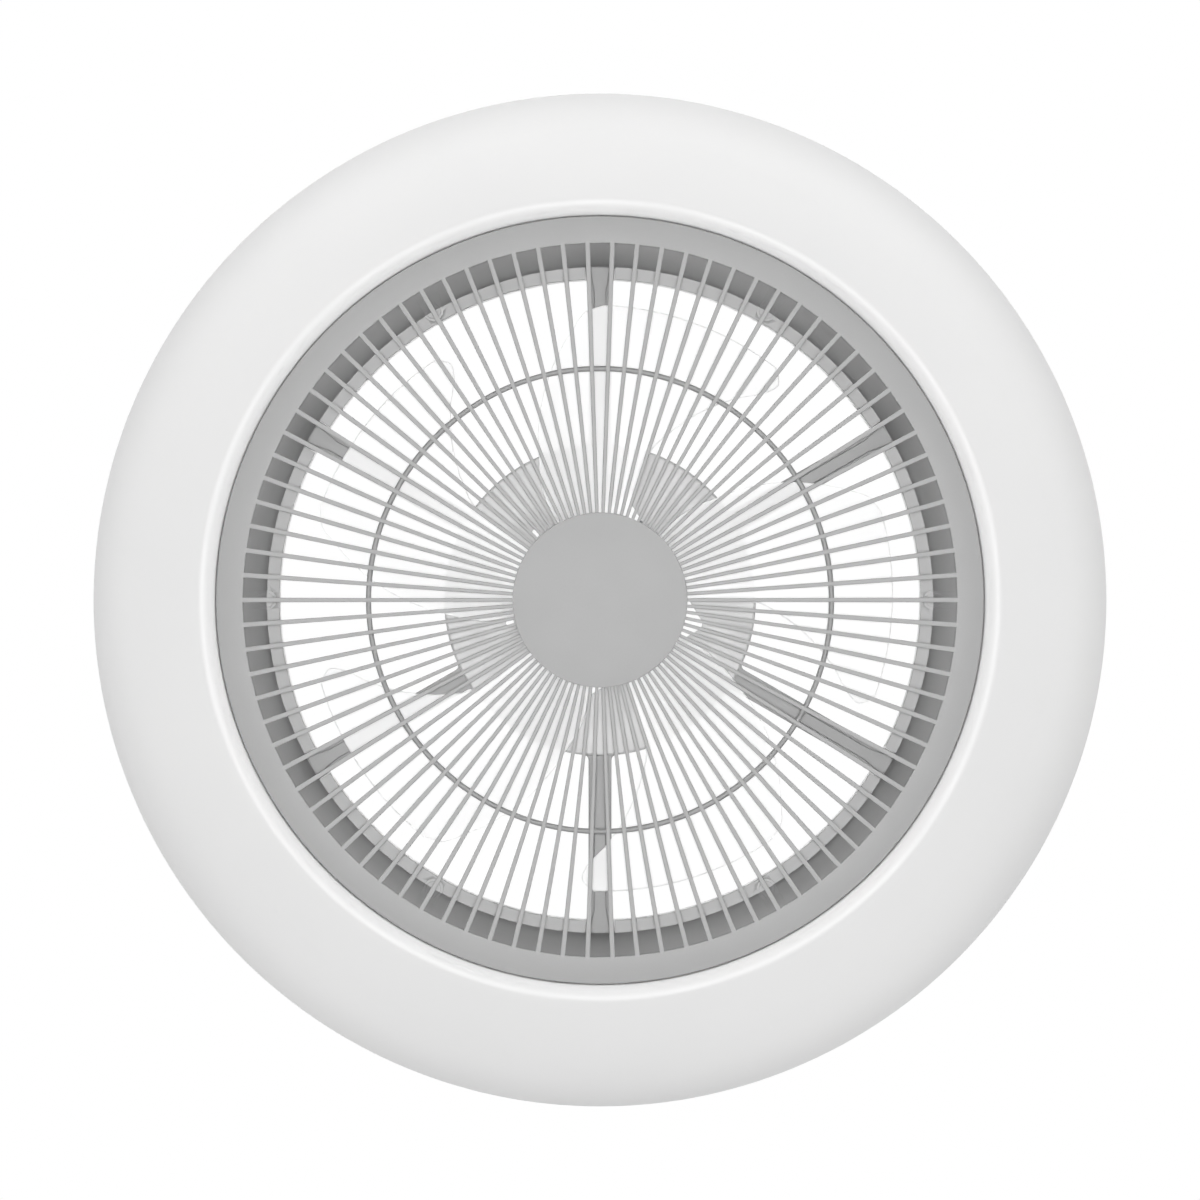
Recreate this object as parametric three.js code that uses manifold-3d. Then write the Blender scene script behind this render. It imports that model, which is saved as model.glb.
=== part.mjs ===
// An enclosed ceiling fan: clear blades turn in a round duct behind a ribbed grille, and a ring
// lamp runs round the duct. Six arms carry the duct from a housing under the ceiling.
// Millimetres, +Z up. The ceiling is the plane z = 0 and the fan hangs below it.
import * as THREE from 'three';
import { mergeVertices } from 'three/addons/utils/BufferGeometryUtils.js';
import Module from 'manifold-3d';

const wasm = await Module();
wasm.setup();

// ---- Driving dimensions ----

const gap = 0.3;                    // between pieces that touch
const cutOver = 1;                  // how far a cutting tool runs past the face it cuts

const outerRadius = 300;            // widest circle, where the lamp cover meets the casing
const intakeDepth = 70;             // ceiling to the top of the casing, where the air goes in
const casingDepth = 50;             // casing top to the seam with the lamp cover
const lampDepth = 70;               // seam to the lowest point of the lamp cover
const shellWall = 2;
const casingFlatRadius = 225;       // flat top of the casing, before it curves down
const casingRoundness = 2.2;        // 2 is an ellipse, more is squarer
const spigotHeight = 5;
const spigotWall = 3;

const ductRadius = 205;             // inside the duct wall, at the grille
const ductDraft = 3.3;              // how much narrower the duct is at its lip
const ductWall = 2;
const lipDepth = 80;                // ceiling to the under face of the duct's inner lip
const lipWidth = 7.5;
const lipThickness = 2;
const bossRadius = 6.1;
const bossDrop = 1.6;               // how far a boss stands down from the lip
const bossCount = 6;

const grilleRecess = 4;             // lowest point of the lamp cover up to the grille's face
const ribDepth = 6;
const ribCount = 90;
const ribInnerWidth = 1.85;
const ribOuterWidth = 2.8;
const trimWidth = 15.7;
const hubRingRadius = 47;
const hubHoleRadius = 30;
const capRadius = 50.2;
const capThickness = 1.7;
const capSpigotWall = 2;
const braceRadius = 133.4;          // ring behind the ribs
const braceRod = 1.5;               // its section's radius
const lampLipRound = 6.7;           // rolled inner edge of the lamp cover
const beadShoulder = 2.3;           // from the roll's lowest circle out to the sloping face
const beadRise = 0.4;
const faceInset = 23;               // from the face's inner edge in to its ellipse's middle
const pegCount = 6;                 // pegs under the duct's flange that the grille pushes onto
const pegRadius = 2.5;
const pegLength = 4;

const housingRadius = 94.2;
const housingDepth = 85;            // ceiling to the housing's under face
const housingWall = 2;
const housingReveal = 0.5;          // shadow line between ceiling and housing
const housingChamfer = 1.5;
const openingHalf = 46.1;           // half the side of the square opening in the housing's floor
const openingCorner = 4;
const openingTurn = 14;             // degrees from +X to a corner of that opening
const ventCount = 6;
const ventRadius = 2.4;
const ventCircle = 56;

const bracketWidth = 42;
const bracketTurn = -41;            // degrees from +X, so that the bar hides behind the housing's floor
const bracketThickness = 3;
const bracketTab = 18;
const bracketTabWidth = 30;
const bracketShoulder = 12;         // straight end of the bracket before it widens
const slotLength = 22;
const slotWidth = 5.5;
const slotOffset = 48;
const cableHoleRadius = 8;
const cableHoleOffset = -18;        // along the bracket
const grommetBore = 5;
const grommetFlange = 2;
const grommetRim = 2.5;

const armCount = 6;
const armWidth = 13.9;
const armHeight = 12;
const armChannelWidth = 7.1;
const armChannelDepth = 4;
const armFlare = 1.85;              // how much wider the arm is on each side at the duct
const armFlareLength = 17;
const tongueWidth = 7;
const tongueHeight = 4;
const tongueLength = 5;

const bladeCount = 5;
const bladeTipRadius = 173.9;
const bladeRootRadius = 28;
const bladeThickness = 2;
const bladePitchTurn = 12.5;       // degrees
const bladeCamber = 3;
const bladeAxisTurn = 1;           // degrees from the blade's middle line to its pitch axis
const twistLength = 14;             // from the flat root to the full pitch
const carrierRadius = 46;
const carrierThickness = 3.4;
const clampInnerRadius = 20;
const clampOuterRadius = 44;
const clampThickness = 3;
const bladeScrewCircle = 37;
const bladeScrewTurn = -23.5;       // degrees, the middle of the first blade's root

const motorPlateThickness = 3;
const motorPlateMargin = 2.9;
const plateScrewInset = 3.2;        // from the edge of the square opening out to the screws
const bearingTubeInner = 11;
const bearingTubeOuter = 14;
const bearingTubeLength = 23.7;
const bearingWidth = 6;
const shaftRadius = 5;
const shaftClearance = 0.6;
const bellRadius = 48;
const bellWall = 2.5;
const bellHeight = 25;
const bellFloor = 3;
const bellBossRadius = 7.5;
const bellClearance = 2;            // bearing tube to the bell's floor
const magnetHeight = 14;
const magnetFloorGap = 4;
const airGap = 1;
const statorRadius = 36;
const statorHeight = 12;
const toothCount = 12;
const toothWidth = 5;
const shoeWidth = 13.6;
const shoeThickness = 3;
const statorHubWall = 3.7;
const coilOverhang = 3.5;
const nutRadius = 11;
const nutHeight = 8;
const shaftTail = 2;                // shaft past the nut

const trayThickness = 1.5;
const trayFlange = 6;
const ledgeWidth = 3.4;
const ledgeThickness = 1.5;
const boardThickness = 1.6;
const boardShare = 0.66;            // of the room between the duct wall and the casing's spigot
const driverLength = 72;
const driverWidth = 26;
const driverHeight = 18;
const receiverLength = 60;
const receiverWidth = 28;
const receiverHeight = 18;
const receiverMargin = 4;           // from the receiver's corners to the housing's wall
const terminalLength = 30;
const terminalWidth = 16;
const terminalHeight = 12;
const terminalHoleRadius = 1.6;
const terminalOffset = 18;          // along the bracket

const screwHeadHeight = 2.2;
const screwHeadBevel = 0.8;
const smallScrew = { shank: 1.5, head: 2.8 };
const bladeScrew = { shank: 2, head: 3.6 };
const armScrew = { shank: 2, head: 3.6, bite: 13 };
const casingScrew = { shank: 1.5, head: 3, bite: 5 };
const housingScrew = { shank: 1.5, head: 2.8, bite: 2.4 };
const housingScrewDepth = 10;       // below the ceiling

// Facets round each kind of ring. Rings that nest in each other share a number.
const bigFacets = 48;
const housingFacets = 36;
const motorFacets = 24;
const screwFacets = 8;
const bossFacets = 12;
const rodFacets = 6;

// Steps along each kind of curve.
const shellSteps = 6;
const insideSteps = 5;
const lipSteps = 3;
const slotSteps = 4;                // half a turn
const cornerSteps = 3;              // a quarter turn

// ---- Places worked out from the sizes ----

const casingTop = -intakeDepth;
const seamLevel = casingTop - casingDepth;
const lowest = seamLevel - lampDepth;
const grilleFace = lowest + grilleRecess;
const grilleBack = grilleFace + ribDepth;
const ductBottom = grilleBack + gap;
const ductFlangeTop = ductBottom + ductWall;
const lipFace = -lipDepth;
const casingUnder = casingTop - shellWall;
const ductTop = casingUnder - gap;
const floorUnder = -housingDepth;
const floorTop = floorUnder + housingWall;

const trimRadius = ductRadius + trimWidth;
const lampInnerRadius = trimRadius + gap;
const beadRadius = lampInnerRadius + lampLipRound;
const faceInnerRadius = beadRadius + beadShoulder;
const lipOuterRadius = ductRadius - ductDraft;
const lipInnerRadius = lipOuterRadius - lipWidth;
const ductFlangeRadius = lampInnerRadius + shellWall + gap;

const armTop = ductTop;
const armBottom = armTop - armHeight;
const armAxisLevel = (armTop + armBottom + armChannelDepth) / 2;

const plateTop = floorUnder - gap;
const plateUnder = plateTop - motorPlateThickness;
const plateScrewCircle = openingHalf + plateScrewInset;
const motorPlateRadius = plateScrewCircle + motorPlateMargin;
const tubeEnd = plateUnder - bearingTubeLength;
const bellFloorTop = tubeEnd - bellClearance;
const bellUnder = bellFloorTop - bellFloor;
const carrierTop = bellUnder - gap;
const carrierUnder = carrierTop - carrierThickness;
const bladeLevel = carrierUnder - gap - bladeThickness / 2;
const clampTop = bladeLevel - bladeThickness / 2 - gap;
const clampUnder = clampTop - clampThickness;
const nutTop = carrierUnder - gap;
const nutUnder = nutTop - nutHeight;
const shaftTop = plateUnder - shaftClearance;
const shaftEnd = nutUnder - shaftTail;
const tabEnd = carrierRadius + gap;

const degrees = Math.PI / 180;

// ---- Making shapes ----

const ring = (count, make) => Array.from({ length: count }, (_, index) => make(index));

const spot = (radius, angle) => new THREE.Vector2(radius * Math.cos(angle), radius * Math.sin(angle));

// A ring of flats reaches in this far between its corners.
const flatRadius = (radius, facets) => radius * Math.cos(Math.PI / facets);

// Welds the vertices of a geometry and drops the faces that have no area.
function welded(geometry) {
  const bare = geometry.clone();
  bare.deleteAttribute('normal');
  bare.deleteAttribute('uv');
  const merged = mergeVertices(bare);
  const kept = [];
  for (let face = 0; face < merged.index.count; face += 3) {
    const [a, b, c] = [0, 1, 2].map((corner) => merged.index.getX(face + corner));
    if (a !== b && b !== c && c !== a) kept.push(a, b, c);
  }
  merged.setIndex(kept);
  return merged;
}

function toSolid(geometry) {
  const { attributes, index } = welded(geometry);
  return new wasm.Manifold(new wasm.Mesh({
    numProp: 3,
    vertProperties: new Float32Array(attributes.position.array),
    triVerts: new Uint32Array(index.array),
  }));
}

function toGeometry(solid) {
  const { vertProperties, triVerts, numProp } = solid.getMesh();
  const geometry = new THREE.BufferGeometry();
  const points = new Float32Array((vertProperties.length / numProp) * 3);
  for (let vertex = 0; vertex < vertProperties.length / numProp; vertex += 1) {
    points.set(vertProperties.subarray(vertex * numProp, vertex * numProp + 3), vertex * 3);
  }
  geometry.setAttribute('position', new THREE.BufferAttribute(points, 3));
  geometry.setIndex(new THREE.BufferAttribute(new Uint32Array(triVerts), 1));
  return geometry;
}

const cut = (body, ...tools) => toGeometry(
  tools.reduce((rest, tool) => rest.subtract(toSolid(tool)), toSolid(body)),
);

const join = (body, ...others) => toGeometry(
  others.reduce((sum, other) => sum.add(toSolid(other)), toSolid(body)),
);

// Turns a closed outline of [radius, level] points about the Z axis.
function turned(outline, facets) {
  const points = outline.map(([radius, level]) => new THREE.Vector2(radius, level));
  if (THREE.ShapeUtils.isClockWise(points)) points.reverse();
  points.push(points[0].clone());
  return new THREE.LatheGeometry(points, facets).rotateX(Math.PI / 2);
}

const plainRing = (inner, outer, low, high, facets) => turned(
  [[inner, low], [outer, low], [outer, high], [inner, high]],
  facets,
);

// A solid turned shape whose outline starts and ends on the axis.
function turnedSolid(outline, facets) {
  const points = outline.map(([radius, level]) => new THREE.Vector2(radius, level));
  const closed = [...points, new THREE.Vector2(0, outline[0][1])];
  if (THREE.ShapeUtils.isClockWise(closed)) points.reverse();
  return new THREE.LatheGeometry(points, facets).rotateX(Math.PI / 2);
}

const rod = (radius, low, high, facets = screwFacets) => turnedSolid(
  [[0, low], [radius, low], [radius, high], [0, high]],
  facets,
);

const block = ([x0, x1], [y0, y1], [z0, z1]) => new THREE.BoxGeometry(x1 - x0, y1 - y0, z1 - z0)
  .translate((x0 + x1) / 2, (y0 + y1) / 2, (z0 + z1) / 2);

// A flat outline of Vector2 points, with holes, from one level up to another.
function slab(outline, holes, low, high) {
  const shape = new THREE.Shape(outline);
  shape.holes = holes.map((hole) => new THREE.Path(hole));
  return new THREE.ExtrudeGeometry(shape, { depth: high - low, bevelEnabled: false })
    .translate(0, 0, low);
}

const circle = (radius, facets, x = 0, y = 0) => ring(facets, (index) => spot(
  radius,
  (index * 2 * Math.PI) / facets,
).add(new THREE.Vector2(x, y)));

const lying = (geometry) => geometry.rotateY(Math.PI / 2);

// A screw with its head on z = 0 and its shank going up.
const screwGeometry = ({ shank, head, length }) => turnedSolid([
  [0, -screwHeadHeight],
  [head - screwHeadBevel, -screwHeadHeight],
  [head, 0],
  [shank, 0],
  [shank, length],
  [0, length],
], screwFacets);

// ---- Finishes ----

const finish = (color, roughness, metalness) => () => new THREE.MeshStandardMaterial({
  color,
  roughness,
  metalness,
});

const silverGrey = finish(0xb4b4b4, 0.45, 0.1);
const lampWhite = finish(0xeeeeee, 0.35, 0);
const casingWhite = finish(0xe6e6e6, 0.45, 0);
const clearBlade = finish(0xf2f4f5, 0.25, 0);
const housingGrey = finish(0xc8c8c8, 0.45, 0.05);
const steel = finish(0xaeb2b5, 0.35, 0.9);
const darkSteel = finish(0x6f7478, 0.4, 0.85);
const laminated = finish(0x4b4e52, 0.55, 0.7);
const copper = finish(0xb87333, 0.4, 0.8);
const magnetBlack = finish(0x2f2f31, 0.6, 0.3);
const boardWhite = finish(0xf0f0ea, 0.5, 0);
const blackRubber = finish(0x202020, 0.85, 0);
const moduleGrey = finish(0x8e9296, 0.55, 0);

const fan = new THREE.Group();
const rotor = new THREE.Group();
fan.add(rotor);

function piece(group, name, geometry, look, place = [0, 0, 0], turn = 0) {
  const mesh = new THREE.Mesh(geometry, look());
  mesh.name = name;
  mesh.position.set(...place);
  mesh.rotation.z = turn;
  group.add(mesh);
  return mesh;
}

// ---- Shell outlines ----

// A quarter of a rounded-square curve, from the widest circle to the flat of the shell.
function shellCurve(wide, narrow, from, to, steps) {
  return ring(steps + 1, (step) => {
    const turn = (step / steps) * (Math.PI / 2);
    const across = Math.cos(turn) ** (2 / casingRoundness);
    const down = Math.sin(turn) ** (2 / casingRoundness);
    return [narrow + (wide - narrow) * across, from + (to - from) * down];
  });
}

const casingInside = shellCurve(
  outerRadius - shellWall,
  casingFlatRadius,
  seamLevel,
  casingUnder,
  insideSteps,
);

// The inside radius of the casing at a level between the seam and its top.
function casingInsideAt(level) {
  const next = casingInside.findIndex(([, height]) => height > level);
  const [[wide, low], [narrow, high]] = casingInside.slice(next - 1, next + 1);
  return THREE.MathUtils.mapLinear(level, low, high, wide, narrow);
}

// The inside radius of the duct wall at a level between the grille and the lip.
function ductInsideAt(level) {
  const share = (level - ductBottom) / (lipFace - ductBottom);
  return ductRadius - ductDraft * share;
}

const spigotTop = seamLevel + spigotHeight;
const spigotRadius = casingInsideAt(spigotTop) - gap;
const trayUnder = spigotTop + gap;
const trayTop = trayUnder + trayThickness;
const ledgeTop = trayUnder - gap;
const ductOuterAt = (level) => ductInsideAt(level) + ductWall;
const lampSeam = seamLevel - gap;

// ---- Ceiling bracket and what it carries ----

const housingInner = flatRadius(housingRadius - housingWall, housingFacets);
const bracketReach = Math.sqrt((housingInner - gap) ** 2 - (bracketTabWidth / 2) ** 2);
const bracketUnder = -bracketThickness;
const housingScrewHole = housingScrew.shank + gap;

// One corner of the bar, mirrored to the other three.
function bracketOutline() {
  const half = bracketTabWidth / 2;
  const wide = bracketWidth / 2;
  const shoulder = bracketReach - bracketShoulder;
  const corner = [[bracketReach, half], [shoulder, half], [shoulder - (wide - half), wide]];
  const back = [...corner].reverse();
  return [
    ...corner,
    ...back.map(([x, y]) => [-x, y]),
    ...corner.map(([x, y]) => [-x, -y]),
    ...back.map(([x, y]) => [x, -y]),
  ].map(([x, y]) => new THREE.Vector2(x, y));
}

// A slot along X, rounded at both ends.
function slotHole(x) {
  const reach = (slotLength - slotWidth) / 2;
  return [[reach, -1], [-reach, 1]].flatMap(([shift, side]) => ring(slotSteps + 1, (index) => spot(
    slotWidth / 2,
    ((side * Math.PI) / 2) + (index * Math.PI) / slotSteps,
  ).add(new THREE.Vector2(x + shift, 0))));
}

function bracketGeometry() {
  const holes = [
    slotHole(slotOffset),
    slotHole(-slotOffset),
    circle(cableHoleRadius, motorFacets / 2, cableHoleOffset),
  ];
  const plate = slab(bracketOutline(), holes, bracketUnder, 0);
  const tabs = [1, -1].map((side) => block(
    [bracketReach - bracketThickness, bracketReach].map((x) => x * side).sort((a, b) => a - b),
    [-bracketTabWidth / 2, bracketTabWidth / 2],
    [-bracketTab, 0],
  ));
  const screwHoles = lying(rod(housingScrewHole, -housingRadius, housingRadius))
    .translate(0, 0, -housingScrewDepth);
  return cut(join(plate, ...tabs), screwHoles);
}

function grommetGeometry() {
  const seat = bracketUnder - gap;
  const body = cableHoleRadius - gap;
  return turned([
    [grommetBore, seat - grommetFlange],
    [body + grommetRim, seat - grommetFlange],
    [body + grommetRim, seat],
    [body, seat],
    [body, -gap],
    [grommetBore, -gap],
  ], motorFacets / 2);
}

function terminalGeometry() {
  const top = bracketUnder - gap;
  const body = block(
    [-terminalLength / 2, terminalLength / 2],
    [-terminalWidth / 2, terminalWidth / 2],
    [top - terminalHeight, top],
  );
  const bores = ring(3, (index) => rod(terminalHoleRadius, -terminalWidth, terminalWidth)
    .rotateX(Math.PI / 2)
    .translate(((index - 1) * terminalLength) / 3, 0, top - terminalHeight / 2));
  return cut(body, ...bores);
}

const bracketDirection = bracketTurn * degrees;
const alongBracket = (distance) => {
  const place = spot(distance, bracketDirection);
  return [place.x, place.y, 0];
};

piece(fan, 'ceiling_bracket', bracketGeometry(), steel, [0, 0, 0], bracketDirection);
piece(fan, 'cable_grommet', grommetGeometry(), blackRubber, alongBracket(cableHoleOffset));
piece(
  fan,
  'terminal_block',
  terminalGeometry(),
  boardWhite,
  alongBracket(terminalOffset),
  bracketDirection + Math.PI / 2,
);

// ---- Housing ----

const openingSide = (openingTurn + 45) * degrees;      // from +X to the middle of a side
const armAngle = (index) => ((index + 0.5) * 2 * Math.PI) / armCount;
const bossAngle = (index) => (index * 2 * Math.PI) / bossCount;
const armScrewHole = armScrew.shank + gap;

function openingOutline() {
  const middle = openingHalf - openingCorner;
  const quarter = Math.PI / 2;
  return ring(4, (corner) => corner).flatMap((corner) => ring(cornerSteps + 1, (index) => {
    const centre = spot(middle * Math.SQRT2, (corner + 0.5) * quarter);
    const edge = spot(openingCorner, (corner + index / cornerSteps) * quarter);
    return edge.add(centre).rotateAround(new THREE.Vector2(), openingSide);
  }));
}

const floorHole = (radius, out, angle) => rod(radius, floorUnder - cutOver, floorTop + cutOver)
  .translate(out, 0, 0)
  .rotateZ(angle);

function housingGeometry() {
  const shell = turnedSolid([
    [0, floorUnder],
    [housingRadius - housingChamfer, floorUnder],
    [housingRadius, floorUnder + housingChamfer],
    [housingRadius, -housingReveal],
    [housingRadius - housingWall, -housingReveal],
    [housingRadius - housingWall, floorTop],
    [0, floorTop],
  ], housingFacets);
  const wallHole = (radius, level) => lying(rod(radius, housingInner / 2, housingRadius * 2))
    .translate(0, 0, level);
  return cut(
    shell,
    slab(openingOutline(), [], floorUnder - cutOver, floorTop + cutOver),
    ...ring(ventCount, (index) => floorHole(
      ventRadius,
      ventCircle,
      (index * 360 / ventCount - openingTurn) * degrees,
    )),
    ...ring(4, (index) => floorHole(
      smallScrew.shank + gap,
      plateScrewCircle,
      openingSide + (index * Math.PI) / 2,
    )),
    ...ring(armCount, (index) => wallHole(armScrewHole, armAxisLevel).rotateZ(armAngle(index))),
    ...ring(2, (index) => wallHole(housingScrewHole, -housingScrewDepth)
      .rotateZ(bracketDirection + index * Math.PI)),
  );
}

piece(fan, 'canopy_housing', housingGeometry(), housingGrey);

ring(2, (index) => piece(
  fan,
  `housing_screw_${index + 1}`,
  screwGeometry({
    ...housingScrew,
    length: housingRadius + gap - bracketReach + housingScrew.bite,
  }).rotateY(-Math.PI / 2).translate(housingRadius + gap, 0, 0),
  steel,
  [0, 0, -housingScrewDepth],
  bracketDirection + index * Math.PI,
));

const receiverOuter = Math.sqrt((housingInner - receiverMargin) ** 2 - (receiverLength / 2) ** 2);
piece(fan, 'receiver_module', block(
  [receiverOuter - receiverWidth, receiverOuter],
  [-receiverLength / 2, receiverLength / 2],
  [0, receiverHeight],
), moduleGrey, [0, 0, floorTop + gap], openingSide);

// ---- Arms ----

const armStart = housingRadius + gap;
const armEndHalf = armWidth / 2 + armFlare;
const armEnd = Math.sqrt((flatRadius(lipOuterRadius, bigFacets) - gap) ** 2 - armEndHalf ** 2);
const armScrewSeat = Math.sqrt(housingInner ** 2 - armScrew.head ** 2) - gap;

// The arm's plan: straight, then wider where it meets the duct.
function armPlan(half, start, end) {
  const flareStart = armEnd - armFlareLength;
  const side = [[start, half], [flareStart, half], [end, half + armFlare]];
  return [...side.map(([x, y]) => [x, -y]), ...side.reverse()].map(([x, y]) => new THREE.Vector2(x, y));
}

function armGeometry() {
  const beam = slab(armPlan(armWidth / 2, armStart, armEnd), [], armBottom, armTop);
  const channel = slab(
    armPlan(armChannelWidth / 2, armStart - cutOver, armEnd + cutOver),
    [],
    armBottom - cutOver,
    armBottom + armChannelDepth,
  );
  const tongue = block(
    [armEnd - cutOver, armEnd + tongueLength],
    [-tongueWidth / 2, tongueWidth / 2],
    [armAxisLevel - tongueHeight / 2, armAxisLevel + tongueHeight / 2],
  );
  const screwHole = lying(rod(armScrewHole, armStart - cutOver, armStart + armScrew.bite + cutOver))
    .translate(0, 0, armAxisLevel);
  return cut(join(beam, tongue), channel, screwHole);
}

ring(armCount, (index) => {
  piece(fan, `support_arm_${index + 1}`, armGeometry(), silverGrey, [0, 0, 0], armAngle(index));
  piece(
    fan,
    `arm_screw_${index + 1}`,
    lying(screwGeometry({ ...armScrew, length: armStart - armScrewSeat + armScrew.bite }))
      .translate(armScrewSeat, 0, armAxisLevel),
    steel,
    [0, 0, 0],
    armAngle(index),
  );
});

// ---- Duct, casing, lamp cover ----

const casingScrewHole = casingScrew.shank + gap;
const pegCircle = (ductRadius + trimRadius) / 2;

// A shape made on the axis, copied to the place of each peg.
const atPegs = (make) => ring(pegCount, (index) => make()
  .translate(pegCircle, 0, 0)
  .rotateZ((index * 2 * Math.PI) / pegCount));

function ductGeometry() {
  const ledgeUnder = ledgeTop - ledgeThickness;
  const wall = turned([
    [ductRadius, ductBottom],
    [lipOuterRadius, lipFace],
    [lipInnerRadius, lipFace],
    [lipInnerRadius, lipFace + lipThickness],
    [lipOuterRadius, lipFace + lipThickness],
    [lipOuterRadius, ductTop],
    [lipOuterRadius + ductWall, ductTop],
    [ductOuterAt(ledgeTop), ledgeTop],
    [ductOuterAt(ledgeTop) + ledgeWidth, ledgeTop],
    [ductOuterAt(ledgeTop) + ledgeWidth, ledgeUnder],
    [ductOuterAt(ledgeUnder), ledgeUnder],
    [ductOuterAt(ductFlangeTop), ductFlangeTop],
    [ductFlangeRadius, ductFlangeTop],
    [ductFlangeRadius, ductBottom],
  ], bigFacets);
  const bosses = ring(bossCount, (index) => rod(bossRadius, lipFace - bossDrop, ductTop, bossFacets)
    .translate(lipOuterRadius, 0, 0)
    .rotateZ(bossAngle(index)));
  const screwHoles = ring(bossCount, (index) => rod(
    casingScrewHole,
    casingUnder - casingScrew.bite - cutOver,
    ductTop + cutOver,
  ).translate(lipOuterRadius, 0, 0).rotateZ(bossAngle(index)));
  const bays = ring(armCount, (index) => block(
    [lipInnerRadius - cutOver, armEnd + gap],
    [-armEndHalf - gap, armEndHalf + gap],
    [lipFace - cutOver, ductTop + cutOver],
  ).rotateZ(armAngle(index)));
  const windows = ring(armCount, (index) => block(
    [armEnd, armEnd + tongueLength + ductWall],
    [-tongueWidth / 2 - gap, tongueWidth / 2 + gap],
    [armAxisLevel - tongueHeight / 2 - gap, armAxisLevel + tongueHeight / 2 + gap],
  ).rotateZ(armAngle(index)));
  const pegs = atPegs(() => rod(pegRadius, ductBottom - pegLength, ductFlangeTop, bossFacets));
  return cut(join(wall, ...bosses, ...pegs), ...bays, ...windows, ...screwHoles);
}

function casingGeometry() {
  const outside = shellCurve(outerRadius, casingFlatRadius, seamLevel, casingTop, shellSteps);
  const mouth = [[lipInnerRadius, casingTop], [lipInnerRadius, casingUnder]];
  const shell = turned([...outside, ...mouth, ...[...casingInside].reverse()], bigFacets);
  const screwHoles = ring(bossCount, (index) => rod(
    casingScrewHole,
    casingUnder - cutOver,
    casingTop + cutOver,
  ).translate(lipOuterRadius, 0, 0).rotateZ(bossAngle(index)));
  return cut(shell, ...screwHoles);
}

// The rolled edge of the lamp cover, from its lowest circle up to its inner edge.
function rolledEdge(inner, low, steps) {
  return ring(steps, (index) => {
    const turn = (((index + 1) / steps) * Math.PI) / 2;
    return [
      beadRadius - (beadRadius - inner) * Math.sin(turn),
      low + lampLipRound * (1 - Math.cos(turn)),
    ];
  });
}

// The lamp cover's sloping face: part of an ellipse, from its widest circle down to the roll.
function lampFace(wide, low, steps) {
  const middle = faceInnerRadius - faceInset;
  const end = Math.acos(faceInset / (wide - middle));
  const depth = (lampSeam - low) / Math.sin(end);
  return ring(steps + 1, (step) => {
    const turn = (step / steps) * end;
    return [middle + (wide - middle) * Math.cos(turn), lampSeam - depth * Math.sin(turn)];
  });
}

function lampCoverGeometry() {
  const edgeTop = ductBottom - gap;
  const inner = lampInnerRadius + shellWall;
  return turned([
    ...lampFace(outerRadius, lowest + beadRise, shellSteps),
    [beadRadius, lowest],
    ...rolledEdge(lampInnerRadius, lowest, lipSteps),
    [lampInnerRadius, edgeTop],
    [inner, edgeTop],
    ...rolledEdge(inner, lowest + shellWall, 1),
    ...lampFace(spigotRadius - spigotWall, lowest + beadRise + shellWall, insideSteps).reverse(),
    [spigotRadius - spigotWall, spigotTop],
    [spigotRadius, spigotTop],
    [spigotRadius, lampSeam],
  ], bigFacets);
}

piece(fan, 'duct_ring', ductGeometry(), silverGrey);
piece(fan, 'upper_casing', casingGeometry(), casingWhite);
piece(fan, 'lamp_cover', lampCoverGeometry(), lampWhite);

ring(bossCount, (index) => piece(
  fan,
  `casing_screw_${index + 1}`,
  screwGeometry({ ...casingScrew, length: shellWall + gap + casingScrew.bite })
    .rotateX(Math.PI)
    .translate(lipOuterRadius, 0, casingTop + gap),
  steel,
  [0, 0, 0],
  bossAngle(index),
));

// ---- Lamp ----

function trayGeometry() {
  const inner = ductOuterAt(trayUnder) + gap;
  const flangeTop = trayTop + trayFlange;
  const outer = casingInsideAt(flangeTop) - gap;
  return turned([
    [inner, trayUnder],
    [outer, trayUnder],
    [outer, flangeTop],
    [outer - trayThickness, flangeTop],
    [outer - trayThickness, trayTop],
    [inner, trayTop],
  ], bigFacets);
}

const boardTop = trayUnder - gap;
const roomInnerRadius = ductOuterAt(boardTop);
const roomOuterRadius = spigotRadius - spigotWall;
const roomMiddle = (roomInnerRadius + roomOuterRadius) / 2;
const boardHalfWidth = (boardShare * (roomOuterRadius - roomInnerRadius)) / 2;

piece(fan, 'led_tray', trayGeometry(), steel);
piece(fan, 'led_board', plainRing(
  roomMiddle - boardHalfWidth,
  roomMiddle + boardHalfWidth,
  boardTop - boardThickness,
  boardTop,
  bigFacets,
), boardWhite);
piece(fan, 'led_driver', block(
  [roomMiddle - driverWidth / 2, roomMiddle + driverWidth / 2],
  [-driverLength / 2, driverLength / 2],
  [0, driverHeight],
), moduleGrey, [0, 0, trayTop + gap], Math.PI / 2);

// ---- Grille ----

// The opening between one rib and the next, from the hub ring to the duct wall.
function ribWindow(index) {
  const step = (2 * Math.PI) / ribCount;
  const corner = (radius, width, rib, side) => new THREE.Vector2(radius, (side * width) / 2)
    .rotateAround(new THREE.Vector2(), rib * step);
  return [
    corner(hubRingRadius, ribInnerWidth, index, 1),
    corner(ductRadius, ribOuterWidth, index, 1),
    corner(ductRadius, ribOuterWidth, index + 1, -1),
    corner(hubRingRadius, ribInnerWidth, index + 1, -1),
  ];
}

function grilleGeometry() {
  const plate = slab(
    circle(trimRadius, bigFacets),
    [circle(hubHoleRadius, housingFacets), ...ring(ribCount, ribWindow)],
    grilleFace,
    grilleBack,
  );
  return cut(plate, ...atPegs(() => rod(
    pegRadius + gap,
    ductBottom - pegLength - gap,
    grilleBack + cutOver,
    bossFacets,
  )));
}

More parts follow.
